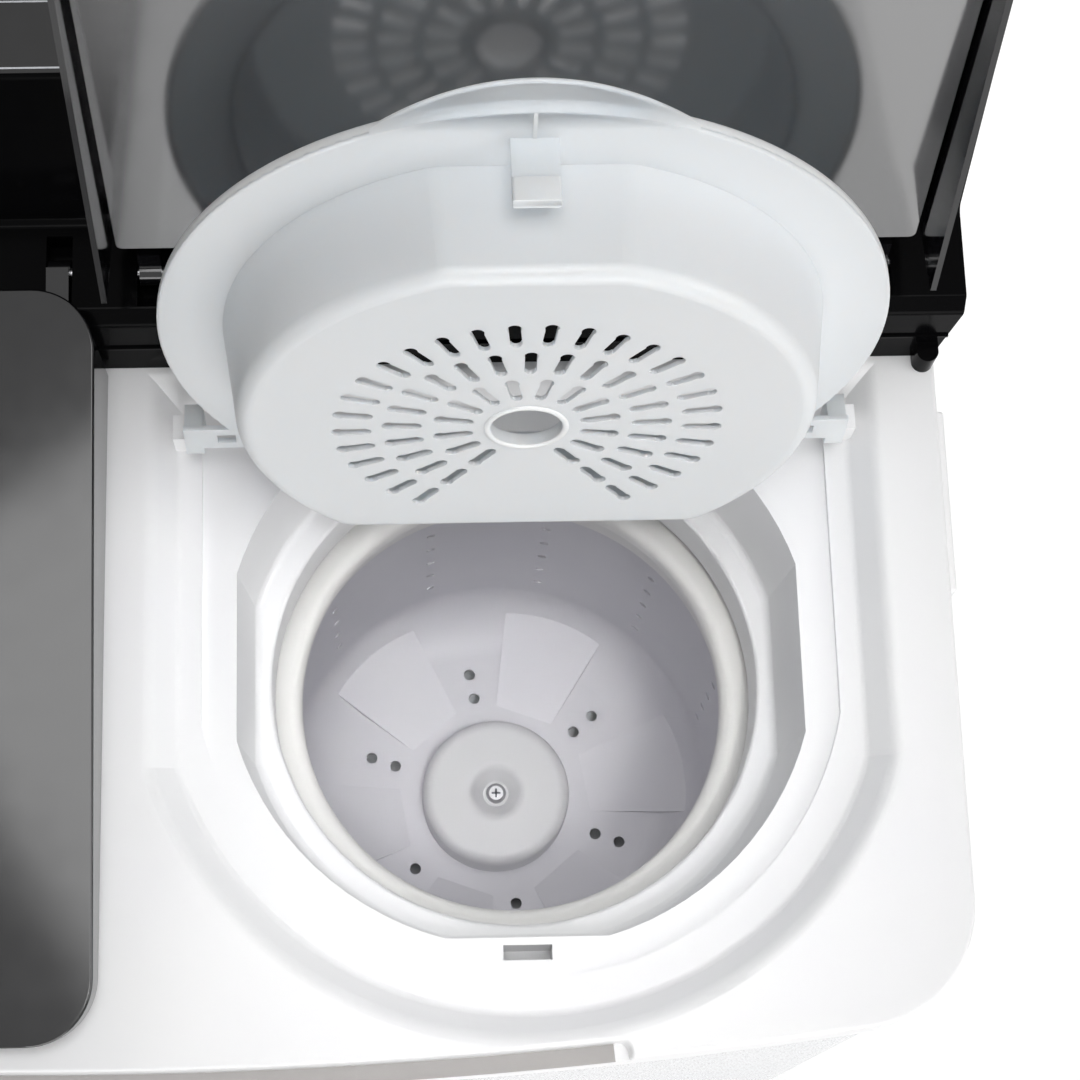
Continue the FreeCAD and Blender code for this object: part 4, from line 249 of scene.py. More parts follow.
class Finishes:
    """Every finish of the machine."""

    # Moulded polypropylene, satin: near white, and a faint unevenness of gloss from the cooled mould.
    DECK = Finish("moulded_white_polypropylene", "F7F7F7", "F5F5F6", roughness=0.36, depth_mm=0.012)
    # The cabinet's larger panel is the same resin from a polished mould, so it shines a little more.
    CABINET = Finish("moulded_white_abs", "EAEAEB", "E6E7E9", roughness=0.28, depth_mm=0.01, cloud_mm=300.0)
    # Recycled grey polypropylene: dull, with a visible mould texture.
    BASE = Finish("moulded_grey_polypropylene", "6F7277", "696C72", roughness=0.55, depth_mm=0.04)
    # Black ABS from a polished mould: deep colour and clear reflections.
    CONSOLE = Finish("polished_black_abs", "070708", "0A0A0B", Grain.POLISHED, roughness=0.14, spread=0.03,
                     specular=0.03, grain_mm=9.0, depth_mm=0.004)
    # Black fascia under a clear lacquer, shinier than the housing round it.
    PANEL = Finish("lacquered_black_fascia", "08080A", "0B0B0D", Grain.POLISHED, roughness=0.2, spread=0.03,
                   specular=0.3, grain_mm=12.0, depth_mm=0.003, coat=0.5)
    # Silver-painted ABS: metal flakes in a grey lacquer.
    KNOB = Finish("silver_painted_abs", "A9ABB0", "B5B7BB", roughness=0.32, metallic=0.55, grain_mm=0.8)
    # Smoked polystyrene: almost black in the thick, with clear reflections.
    SMOKE = Finish("smoked_polystyrene", "121214", "151517", Grain.POLISHED, roughness=0.1, spread=0.02,
                   ior=1.55, grain_mm=14.0, depth_mm=0.003)
    # Smoked film with a half-silvered back: dark, and a dim soft mirror that strengthens at a glancing look.
    MIRROR = Finish("half_silvered_smoked_film", "2E2E30", "29292B", Grain.POLISHED, roughness=0.1, spread=0.02,
                    ior=3.2, grain_mm=18.0, depth_mm=0.002, cloud_mm=200.0)
    # Natural polypropylene without pigment: milky in the dish, and almost clear in the thin lip.
    FROST = Finish("natural_polypropylene", "F2F7FC", "EFF5FB", Grain.FROSTED, roughness=0.34, spread=0.05,
                   grain_mm=1.6, depth_mm=0.006, transmission=0.14, subsurface=0.6, bleed_mm=8.0,
                   thin_from_mm=1142.0, thin_over_mm=10.0, thin_transmission=0.8)
    # The same resin where it is folded over and thick: whiter and less clear.
    FROST_THICK = Finish("thick_natural_polypropylene", "FAFCFD", "F6FAFC", roughness=0.34, depth_mm=0.01,
                         transmission=0.1, subsurface=0.4, bleed_mm=5.0)
    # Pale grey polypropylene with a cool cast, duller than the deck.
    BASKET = Finish("moulded_lavender_grey_polypropylene", "F3F2F6", "EFEEF3", roughness=0.42, depth_mm=0.02)
    # Cream white polypropylene ring with a satin face.
    RING = Finish("moulded_cream_polypropylene", "FBFAF7", "F8F7F4", roughness=0.34, depth_mm=0.012)
    # Pale grey polypropylene cap.
    CAP = Finish("moulded_pale_grey_polypropylene", "F4F4F4", "F0F0F1", roughness=0.4, depth_mm=0.02)
    # White tub resin, matt from washing.
    TUB = Finish("washed_white_polypropylene", "DFE1E5", "D8DBE0", roughness=0.48, depth_mm=0.03)
    # Pale blue polypropylene pulsator.
    PULSATOR = Finish("moulded_blue_polypropylene", "9DB1CC", "94A9C6", roughness=0.34, depth_mm=0.015)
    # Turned steel: fine lines round the bar.
    STEEL = Finish("turned_steel", "B9B9BB", "AEAEB1", Grain.BRUSHED, roughness=0.3, metallic=1.0, grain_mm=0.6,
                   ior=1.5)
    # Zinc plate: a cool metal with soft crystal patches.
    ZINC = Finish("zinc_plated_steel", "C3C6C9", "A9ADB2", Grain.CAST, roughness=0.38, metallic=1.0, grain_mm=4.0,
                  cloud_mm=9.0, ior=1.5)
    # Cast iron: dark, rough and grainy.
    IRON = Finish("sand_cast_iron", "4B4B4D", "3C3C3F", Grain.CAST, roughness=0.6, metallic=0.8, grain_mm=2.0,
                  depth_mm=0.15, ior=1.5)
    # Dark stoving paint over an aluminium can.
    MOTOR = Finish("painted_motor_can", "30343A", "2A2E34", roughness=0.45, grain_mm=1.5, depth_mm=0.03)
    # Pressure-cast aluminium: pale metal with a dull skin.
    ALUMINIUM = Finish("cast_aluminium", "B7B9BC", "A6A9AD", Grain.CAST, roughness=0.42, metallic=1.0, grain_mm=2.5,
                       depth_mm=0.05, ior=1.5)
    # Black rubber: matt with a grey bloom.
    RUBBER = Finish("black_rubber", "232325", "2B2B2E", roughness=0.72, depth_mm=0.05)
    # Dark grey technical plastic.
    INNER = Finish("moulded_dark_grey_nylon", "4A4C50", "44464B", roughness=0.5, depth_mm=0.03)
    # White printing ink on the fascia.
    INK = Finish("screen_printed_ink", "D9DADB", "D2D3D5", roughness=0.5, depth_mm=0.004)
    # Painted shade: a matt grey laid on the floor of the finger recess, so the recess reads darker than the deck where
    # shade falls in it.
    RECESS_SHADE = Finish("painted_recess_shade_grey", "AEABA9", "A9A6A4", roughness=0.62, depth_mm=0.05)


@dataclass(frozen=True)
class Lamp:
    """One soft square lamp: where it hangs, what it faces, its side in metres, its watts and how far it fans out."""

    name: str
    place: tuple[float, float, float]
    target: tuple[float, float, float]
    size: float
    power: float
    spread_deg: float = 180.0

    def build(self) -> None:
        """Hangs the lamp and turns it to its target."""
        data = bpy.data.lights.new(self.name, "AREA")
        data.shape = "SQUARE"
        data.size = self.size
        data.energy = self.power
        data.spread = math.radians(self.spread_deg)
        made = bpy.data.objects.new(self.name, data)
        made.location = self.place
        aim = Vector(self.target) - Vector(self.place)
        made.rotation_euler = aim.to_track_quat("-Z", "Y").to_euler()
        bpy.context.scene.collection.objects.link(made)


@dataclass(frozen=True)
class Studio:
    """Floor, soft light and the camera at the photograph's angle."""

    eye: tuple[float, float, float] = (0.150, -0.352, 2.1728)
    pitch_deg: float = 74.08
    yaw_deg: float = 3.0
    roll_deg: float = 1.91
    lens_mm: float = 84.17
    sensor_mm: float = 36.0
    shift_x: float = 0.0893
    clip_end: float = 60.0
    sky_light: float = 0.22
    sky_seen: float = 1.0
    floor_half: float = 14.0
    paper_tone: str = "CCCCCC"
    paper_roughness: float = 0.9
    paper_seen: float = 0.6
    lamps: tuple[Lamp, ...] = (
        Lamp("soft_overhead", (0.3, -0.2, 3.9), (0.2, -0.05, 0.8), size=1.6, power=34.0),
        Lamp("soft_front", (0.6, -3.3, 1.3), (0.1, 0.0, 0.9), size=2.2, power=58.0),
        Lamp("soft_side", (2.8, -0.7, 2.3), (0.1, 0.0, 0.8), size=1.6, power=26.0),
        Lamp("soft_fill", (0.32, -0.5, 2.6), (0.2, 0.0, 0.6), size=0.35, power=0.13, spread_deg=13.0),
        Lamp("soft_rear", (-2.2, 3.0, 2.0), (0.0, 0.0, 0.6), size=2.2, power=56.0),
    )

    def build(self) -> None:
        """Makes the floor, the world, the lamps and the camera."""
        self.floor()
        self.world()
        for lamp in self.lamps:
            lamp.build()
        self.camera()

    def backdrop_mix(self, tree: bpy.types.NodeTree) -> bpy.types.NodeSocket:
        """Adds the switch between what the eye and mirrors see and what lights the object.

        Args:
            tree: the tree of the world or the floor.

        Returns:
            A socket that is 1 for camera, glossy and transmission rays.
        """
        path = add_node(tree, "ShaderNodeLightPath")
        some = add_node(tree, "ShaderNodeMath", None, {0: path.outputs["Is Camera Ray"],
                                                       1: path.outputs["Is Glossy Ray"]}, operation="MAXIMUM")
        every = add_node(tree, "ShaderNodeMath", None, {0: some.outputs[0],
                                                        1: path.outputs["Is Transmission Ray"]}, operation="MAXIMUM")
        return every.outputs[0]

    def world(self) -> None:
        """Makes a white world that lights the object at a plain level."""
        world = bpy.data.worlds.new("white_studio")
        world.use_nodes = True
        tree = world.node_tree
        tree.nodes.clear()
        seen = self.backdrop_mix(tree)
        level = add_node(tree, "ShaderNodeMapRange", {"To Min": self.sky_light, "To Max": self.sky_seen},
                         {"Value": seen})
        sky = add_node(tree, "ShaderNodeBackground", {"Color": WHITE}, {"Strength": level.outputs["Result"]})
        add_node(tree, "ShaderNodeOutputWorld", None, {"Surface": sky.outputs["Background"]})
        bpy.context.scene.world = world

    def floor(self) -> None:
        """Makes the pale floor, which keeps the object's shadow."""
        bm = bmesh.new()
        bmesh.ops.create_grid(bm, x_segments=2, y_segments=2, size=self.floor_half)
        mesh = bpy.data.meshes.new("studio_floor")
        bm.to_mesh(mesh)
        bm.free()
        made = bpy.data.materials.new("matt_white_paper")
        made.use_nodes = True
        tree = made.node_tree
        tree.nodes.clear()
        seen = self.backdrop_mix(tree)
        glow = add_node(tree, "ShaderNodeMapRange", {"To Min": 0.0, "To Max": self.paper_seen}, {"Value": seen})
        paper = add_node(tree, "ShaderNodeBsdfPrincipled",
                         {"Base Color": to_linear(self.paper_tone), "Roughness": self.paper_roughness,
                          "Specular IOR Level": 0.0, "Emission Color": WHITE},
                         {"Emission Strength": glow.outputs["Result"]})
        add_node(tree, "ShaderNodeOutputMaterial", None, {"Surface": paper.outputs["BSDF"]})
        mesh.materials.append(made)
        floor = bpy.data.objects.new("studio_floor", mesh)
        bpy.context.scene.collection.objects.link(floor)

    def camera(self) -> None:
        """Sets the camera at the photograph's place, turn and framing."""
        pitch, yaw, roll = (math.radians(v) for v in (self.pitch_deg, self.yaw_deg, self.roll_deg))
        ahead = Vector((math.sin(yaw) * math.cos(pitch), math.cos(yaw) * math.cos(pitch), -math.sin(pitch)))
        right = Vector((math.cos(yaw), -math.sin(yaw), 0.0))
        up = right.cross(ahead)
        across = right * math.cos(roll) + up * math.sin(roll)
        rise = up * math.cos(roll) - right * math.sin(roll)
        data = bpy.data.cameras.new("photo_camera")
        data.sensor_width = self.sensor_mm
        data.lens = self.lens_mm
        data.shift_x = self.shift_x
        data.clip_end = self.clip_end
        made = bpy.data.objects.new("photo_camera", data)
        turn = Matrix((across, rise, -ahead)).transposed().to_4x4()
        made.matrix_world = Matrix.Translation(Vector(self.eye)) @ turn
        bpy.context.scene.collection.objects.link(made)
        bpy.context.scene.camera = made


def make_piece(name: str, bm: bmesh.types.BMesh, finish: Finish, body: Body,
               sharp_deg: float = 40.0) -> bpy.types.Object:
    """Turns a bmesh in the machine's frame into a finished piece.

    Args:
        name: the piece's name.
        bm: its mesh, which is used up.
        finish: its finish.
        body: the body that it moves with.
        sharp_deg: edges that turn more than this stay crisp.

    Returns:
        The new object.
    """
    bmesh.ops.remove_doubles(bm, verts=bm.verts[:], dist=WELD)
    bmesh.ops.recalc_face_normals(bm, faces=bm.faces[:])
    mesh = bpy.data.meshes.new(name)
    bm.to_mesh(mesh)
    bm.free()
    mesh.shade_smooth()
    mesh.set_sharp_from_angle(angle=math.radians(sharp_deg))
    mesh.materials.append(finish.material())
    made = bpy.data.objects.new(name, mesh)
    bpy.context.scene.collection.objects.link(made)
    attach(made, body.value)
    LOG.info("%s: %d faces on %s", name, len(mesh.polygons), body.value)
    return made


def hinge_place(hinge: tuple[float, float, float], turn_deg: float) -> Matrix:
    """Gives the place of a part that is turned about an axis along X.

    Args:
        hinge: a point of the axis in millimetres.
        turn_deg: the turn about X.

    Returns:
        The matrix from the part's own frame to the machine's.
    """
    return Matrix.Translation(Vector(hinge) * MM) @ Matrix.Rotation(math.radians(turn_deg), 4, "X")


def add_oval_ring(bm: bmesh.types.BMesh, reach: float, height: float, half_width: float, half_height: float,
                  start_deg: float = 0.0, sweep_deg: float = 360.0, steps: int = 96, sides: int = 12) -> None:
    """Spins an oval bead round the local Z axis; sizes are millimetres.

    Args:
        bm: the mesh that gets the bead.
        reach: middle of the bead from the axis.
        height: middle of the bead above the local origin.
        half_width: half of the bead, outwards.
        half_height: half of the bead, upwards.
        start_deg: where the bead starts.
        sweep_deg: how far it goes round.
        steps: pieces along the bead.
        sides: sides of the bead.
    """
    before = set(bm.edges)
    loop = bmesh.ops.create_circle(bm, segments=sides, radius=1.0)["verts"]
    size = Matrix.Diagonal((half_width * MM, half_height * MM, 1.0, 1.0))
    stand = Matrix.Rotation(math.radians(90.0), 4, "X")
    place = Matrix.Rotation(math.radians(start_deg), 4, "Z") @ Matrix.Translation((reach * MM, 0.0, height * MM))
    bmesh.ops.transform(bm, matrix=place @ stand @ size, verts=loop)
    edges = [edge for edge in bm.edges if edge not in before]
    full = sweep_deg >= 360.0
    bmesh.ops.spin(bm, geom=loop + edges, cent=(0.0, 0.0, 0.0), axis=(0.0, 0.0, 1.0),
                   angle=math.radians(sweep_deg), steps=steps, use_merge=full)
    if not full:
        bmesh.ops.holes_fill(bm, edges=[edge for edge in bm.edges if edge.is_boundary])


def add_plate(bm: bmesh.types.BMesh, low: Sequence[float], high: Sequence[float], corner: float,
              edge_round: float, corner_steps: int = 6, rear_corner: Optional[float] = None) -> None:
    """Adds a plate with round corners and a rounded upper rim; sizes are millimetres.

    Args:
        bm: the mesh that gets the plate.
        low: lowest x, y and z.
        high: highest x, y and z.
        corner: radius of its corners in plan.
        edge_round: radius of its upper rim.
        corner_steps: pieces of a corner.
        rear_corner: radius of the two corners at the highest y, where it differs.
    """
    known = set(bm.faces)
    spots = ((low[0], low[1]), (high[0], low[1]), (high[0], high[1]), (low[0], high[1]))
    verts = [bm.verts.new((x * MM, y * MM, low[2] * MM)) for x, y in spots]
    bm.faces.new(verts)
    behind = corner if rear_corner is None else rear_corner
    for pair, radius in ((verts[:2], corner), (verts[2:], behind)):
        bmesh.ops.bevel(bm, geom=pair, offset=radius * MM, offset_type="OFFSET", segments=corner_steps,
                        profile=QUARTER_ROUND, affect="VERTICES", material=-1)
    base = [face for face in bm.faces if face not in known]
    raised = bmesh.ops.extrude_face_region(bm, geom=base, use_keep_orig=True)["geom"]
    top = [part for part in raised if isinstance(part, bmesh.types.BMFace)]
    bmesh.ops.translate(bm, vec=(0.0, 0.0, (high[2] - low[2]) * MM), verts=top[0].verts[:])
    bmesh.ops.bevel(bm, geom=top[0].edges[:], offset=edge_round * MM, offset_type="OFFSET", segments=2,
                    profile=QUARTER_ROUND, affect="EDGES", material=-1)


@dataclass(frozen=True)
class InnerLidTrim:
    """The beads and ribs moulded on the spin side's frosted inner lid."""

    hinge: tuple[float, float, float] = (210.0, 90.0, 850.0)
    open_deg: float = -100.7
    centre_y: float = -124.0
    flange_under: float = -14.6
    rim_reach: float = 182.4
    rim_lift: float = 4.6
    rim_half_width: float = 1.6
    rim_half_height: float = 3.2
    rim_start_deg: float = 140.1
    rim_sweep_deg: float = 259.8
    rim_steps: int = 120
    eye_reach: float = 19.5
    eye_half_width: float = 1.6
    eye_half_height: float = 1.1
    eye_steps: int = 64
    dish_depth: float = 56.0
    rib_front: float = -308.0
    rib_half: float = 1.0
    rib_below: float = 0.3
    rib_above: float = 0.2
    rib_corner: float = 0.5
    rib_round: float = 0.1
    hook_y: float = -287.0
    hook_half: float = 11.0
    hook_length: float = 34.0
    hook_bead: float = 13.0
    hook_half_thick: float = 3.2
    hook_corner: float = 1.5
    hook_round: float = 0.9
    flange_radius: float = 184.0
    lip_half: float = 74.0
    lip_height: float = 13.5
    lip_rise: float = 10.5
    lip_reach: float = 6.5
    lip_thick: float = 3.0
    lip_bead: float = 1.4
    lip_share: float = 0.97
    lip_steps: int = 48
    lip_sides: int = 10

    def place(self) -> Matrix:
        """Gives the open lid's place from its closed hinge frame."""
        return hinge_place(self.hinge, self.open_deg)

    def finish_piece(self, name: str, bm: bmesh.types.BMesh, centred: bool = False) -> None:
        """Places a piece of the trim on the open lid.

        Args:
            name: the piece's name.
            bm: its mesh in the closed lid's frame, which is used up.
            centred: whether the mesh lies round the dish's middle.
        """
        shift = Matrix.Translation((0.0, self.centre_y * MM if centred else 0.0, 0.0))
        bmesh.ops.transform(bm, matrix=self.place() @ shift, verts=bm.verts[:])
        make_piece(name, bm, Finishes.FROST_THICK, Body.INNER_LID)

    def rim(self) -> None:
        """Makes the rim that is folded back along the flange."""
        bm = bmesh.new()
        add_oval_ring(bm, self.rim_reach, self.flange_under + self.rim_lift, self.rim_half_width,
                      self.rim_half_height, self.rim_start_deg, self.rim_sweep_deg, self.rim_steps)
        self.finish_piece("inner_lid_rim", bm, centred=True)

    def eye(self) -> None:
        """Makes the bead round the plain middle of the grille."""
        bm = bmesh.new()
        add_oval_ring(bm, self.eye_reach, self.flange_under - self.dish_depth, self.eye_half_width,
                      self.eye_half_height, steps=self.eye_steps)
        self.finish_piece("inner_lid_eye_bead", bm, centred=True)

    def hook_end(self) -> None:
        """Makes the thick end of the hook and the thin rib that leads to it."""
        bm = bmesh.new()
        foot = self.flange_under - self.hook_length
        add_plate(bm, (-self.hook_half, self.hook_y - self.hook_half_thick, foot),
                  (self.hook_half, self.hook_y + self.hook_half_thick, foot + self.hook_bead), self.hook_corner,
                  self.hook_round, corner_steps=3)
        self.finish_piece("inner_lid_hook_end", bm)
        bm = bmesh.new()
        add_plate(bm, (-self.rib_half, self.rib_front, self.flange_under - self.rib_below),
                  (self.rib_half, self.hook_y, self.flange_under + self.rib_above), self.rib_corner, self.rib_round,
                  corner_steps=2)
        self.finish_piece("inner_lid_rib", bm)

    def lip_ring(self, bm: bmesh.types.BMesh, across: float) -> list[bmesh.types.BMEdge]:
        """Adds one section of the lip's bead.

        Args:
            bm: the mesh that gets the section.
            across: its place from the lid's middle, in millimetres.

        Returns:
            The section's edges.
        """
        known = set(bm.edges)
        arch = (self.lip_half ** 2 + self.lip_rise ** 2) / (2.0 * self.lip_rise)
        height = self.lip_height - arch + math.sqrt(arch * arch - across * across)
        reach = self.flange_radius + self.lip_reach * height / self.lip_height - self.lip_thick / 2.0
        spot = Vector((across, self.centre_y - math.sqrt(reach * reach - across * across), self.flange_under + height))
        loop = bmesh.ops.create_circle(bm, segments=self.lip_sides, radius=self.lip_bead * MM)["verts"]
        stand = Matrix.Rotation(math.radians(90.0), 4, "Y")
        swing = Matrix.Rotation(math.asin(across / reach), 4, "Z")
        bmesh.ops.transform(bm, matrix=Matrix.Translation(spot * MM) @ swing @ stand, verts=loop)
        return [edge for edge in bm.edges if edge not in known]

    def lip(self) -> None:
        """Makes the bead along the crest of the lifting lip."""
        bm = bmesh.new()
        span = self.lip_half * self.lip_share
        rings = [self.lip_ring(bm, span * (2.0 * step / self.lip_steps - 1.0)) for step in range(self.lip_steps + 1)]
        for near, far in zip(rings, rings[1:]):
            bmesh.ops.bridge_loops(bm, edges=near + far)
        bmesh.ops.holes_fill(bm, edges=[edge for edge in bm.edges if edge.is_boundary])
        self.finish_piece("inner_lid_lip_bead", bm)

    def build(self) -> None:
        """Makes every piece of the trim."""
        self.rim()
        self.eye()
        self.hook_end()
        self.lip()


@dataclass(frozen=True)
class LidLining:
    """The inner panel of one outer lid, deeper at the hinge, with a half-silvered face."""

    name: str
    body: Body
    hinge: tuple[float, float, float]
    turn_deg: float
    half_width: float
    side_margin: float = 5.0
    front: float = -403.0
    rear: float = -36.0
    crown: float = 12.0
    front_depth: float = 3.0
    rear_depth: float = 20.0
    front_corner: float = 29.0
    rear_corner: float = 4.0
    edge_round: float = 0.3
    corner_steps: int = 10
    face_match: float = 0.95

    def taper(self) -> float:
        """Gives how much deeper the panel gets for each millimetre towards the hinge."""
        return (self.rear_depth - self.front_depth) / (self.rear - self.front)

    def depth_at(self, along: float) -> float:
        """Gives the panel's depth under the crown.

        Args:
            along: place from the hinge line, in millimetres.

        Returns:
            The depth in millimetres.
        """
        return self.front_depth + (along - self.front) * self.taper()

    def build(self) -> None:
        """Makes the tapered panel against the lid's inside and silvers its face."""
        bm = bmesh.new()
        half = self.half_width - self.side_margin
        add_plate(bm, (-half, self.front, 0.0), (half, self.rear, 1.0), self.front_corner, self.edge_round,
                  self.corner_steps, self.rear_corner)
        for vert in bm.verts:
            vert.co.z = self.crown * MM - vert.co.z * self.depth_at(vert.co.y / MM)
        place = hinge_place(self.hinge, self.turn_deg)
        bmesh.ops.transform(bm, matrix=place, verts=bm.verts[:])
        piece = make_piece(self.name, bm, Finishes.MIRROR, self.body)
        piece.data.materials.append(Finishes.SMOKE.material())
        outward = (place.to_3x3() @ Vector((0.0, -self.taper(), -1.0))).normalized()
        for face in piece.data.polygons:
            face.material_index = 0 if face.normal.dot(outward) > self.face_match else 1


@dataclass(frozen=True)
class Dial:
    """One knob's fluted grip, its pointer and the ticks printed round it."""

    name: str
    body: Body
    across: float
    ticks: int
    first_deg: float
    last_deg: float
    depth: float = 245.0
    height: float = 1017.0
    tilt_deg: float = 8.13
    face: float = 2.0
    grip_reach: float = 14.7
    grip_low: float = 7.7
    grip_high: float = 17.4
    flutes: int = 24
    flute_steps: int = 6
    flute_depth: float = 0.45
    foot_shrink: float = 0.92
    side_shrink: float = 0.985
    # Shrink in plan and rise of each step of the grip's rounded upper edge.
    shoulder: tuple[tuple[float, float], ...] = ((0.965, 0.6), (0.86, 0.3))
    grip_sharp_deg: float = 60.0
    dome_top: float = 21.6
    pointer_half: float = 0.7
    pointer_span: tuple[float, float] = (3.5, 11.0)
    pointer_sunk: float = 0.1
    pointer_proud: float = 0.15
    pointer_corner: float = 0.5
    pointer_round: float = 0.1
    tick_half: float = 0.25
    tick_span: tuple[float, float] = (17.9, 19.5)
    tick_sunk: float = 0.05
    tick_proud: float = 0.1
    tick_corner: float = 0.1
    tick_round: float = 0.04

    def place(self) -> Matrix:
        """Gives the dial's place on the sloping fascia."""
        return hinge_place((self.across, self.depth, self.height), self.tilt_deg)

    def grip(self) -> None:
        """Makes the fluted sleeve round the knob."""
        bm = bmesh.new()
        around = self.flutes * self.flute_steps
        loop = bmesh.ops.create_circle(bm, segments=around, radius=self.grip_reach * MM)["verts"]
        for vert in loop:
            turn = math.atan2(vert.co.y, vert.co.x)
            vert.co *= 1.0 - self.flute_depth / self.grip_reach * (0.5 + 0.5 * math.cos(self.flutes * turn))
        bmesh.ops.translate(bm, vec=(0.0, 0.0, self.grip_low * MM), verts=loop)
        rims = bm.edges[:]
        foot = bmesh.ops.extrude_edge_only(bm, edges=rims)["geom"]
        self.shape_rim(bm, foot, self.foot_shrink, 0.0)
        straight = self.grip_high - self.grip_low - sum(rise for _, rise in self.shoulder)
        for shrink, rise in ((self.side_shrink, straight), *self.shoulder):
            grown = bmesh.ops.extrude_edge_only(bm, edges=rims)["geom"]
            self.shape_rim(bm, grown, shrink, rise)
            rims = [part for part in grown if isinstance(part, bmesh.types.BMEdge)]
        bmesh.ops.transform(bm, matrix=self.place(), verts=bm.verts[:])
        make_piece(self.name + "_grip", bm, Finishes.KNOB, self.body, self.grip_sharp_deg)

    def shape_rim(self, bm: bmesh.types.BMesh, geom: Sequence[object], shrink: float, rise: float) -> None:
        """Draws a new rim in and lifts it.

        Args:
            bm: the sleeve.
            geom: what the extrusion made.
            shrink: scale in plan.
            rise: lift in millimetres.
        """
        verts = [part for part in geom if isinstance(part, bmesh.types.BMVert)]
        bmesh.ops.scale(bm, vec=(shrink, shrink, 1.0), verts=verts)
        bmesh.ops.translate(bm, vec=(0.0, 0.0, rise * MM), verts=verts)

    def pointer(self) -> None:
        """Makes the white line on the knob's top."""
        bm = bmesh.new()
        inner, outer = self.pointer_span
        add_plate(bm, (-self.pointer_half, inner, self.dome_top - self.pointer_sunk),
                  (self.pointer_half, outer, self.dome_top + self.pointer_proud), self.pointer_corner,
                  self.pointer_round, corner_steps=3)
        bmesh.ops.transform(bm, matrix=self.place(), verts=bm.verts[:])
        make_piece(self.name + "_pointer", bm, Finishes.INK, self.body)

    def scale_marks(self) -> None:
        """Prints the ticks on the fascia round the knob."""
        bm = bmesh.new()
        span = (self.last_deg - self.first_deg) / (self.ticks - 1)
        inner, outer = self.tick_span
        for index in range(self.ticks):
            known = set(bm.verts)
            add_plate(bm, (-self.tick_half, inner, self.face - self.tick_sunk),
                      (self.tick_half, outer, self.face + self.tick_proud), self.tick_corner, self.tick_round,
                      corner_steps=1)
            fresh = [vert for vert in bm.verts if vert not in known]
            turn = Matrix.Rotation(math.radians(self.first_deg + span * index), 3, "Z")
            bmesh.ops.rotate(bm, cent=(0.0, 0.0, 0.0), matrix=turn, verts=fresh)
        bmesh.ops.transform(bm, matrix=self.place(), verts=bm.verts[:])
        make_piece(self.name + "_scale", bm, Finishes.INK, Body.CABINET)

    def build(self) -> None:
        """Makes the grip, the pointer and the scale."""
        self.grip()
        self.pointer()
        self.scale_marks()


@dataclass(frozen=True)
class FasciaTrim:
    """The thin silver line let into the control panel's edge."""

    half_length: float = 377.5
    half_depth: float = 17.8
    depth: float = 245.0
    height: float = 1017.0
    tilt_deg: float = 8.13
    face: float = 2.0
    width: float = 0.9
    thick: float = 0.2
    corner: float = 4.0
    corner_steps: int = 6

    def build(self) -> None:
        """Makes the line as a narrow closed frame."""
        bm = bmesh.new()
        spots = ((-1, -1), (1, -1), (1, 1), (-1, 1))
        verts = [bm.verts.new((x * self.half_length * MM, y * self.half_depth * MM, self.face * MM))
                 for x, y in spots]
        bm.faces.new(verts)
        bmesh.ops.bevel(bm, geom=verts, offset=self.corner * MM, offset_type="OFFSET", segments=self.corner_steps,
                        profile=QUARTER_ROUND, affect="VERTICES", material=-1)
        rim = set(bmesh.ops.inset_region(bm, faces=bm.faces[:], thickness=self.width * MM, use_boundary=True,
                                         use_even_offset=True)["faces"])
        inner = [face for face in bm.faces if face not in rim]
        bmesh.ops.delete(bm, geom=inner, context="FACES_ONLY")
        bmesh.ops.recalc_face_normals(bm, faces=bm.faces[:])
        bmesh.ops.solidify(bm, geom=bm.faces[:], thickness=self.thick * MM)
        bmesh.ops.transform(bm, matrix=hinge_place((0.0, self.depth, self.height), self.tilt_deg), verts=bm.verts[:])
        make_piece("fascia_trim_line", bm, Finishes.KNOB, Body.CABINET)


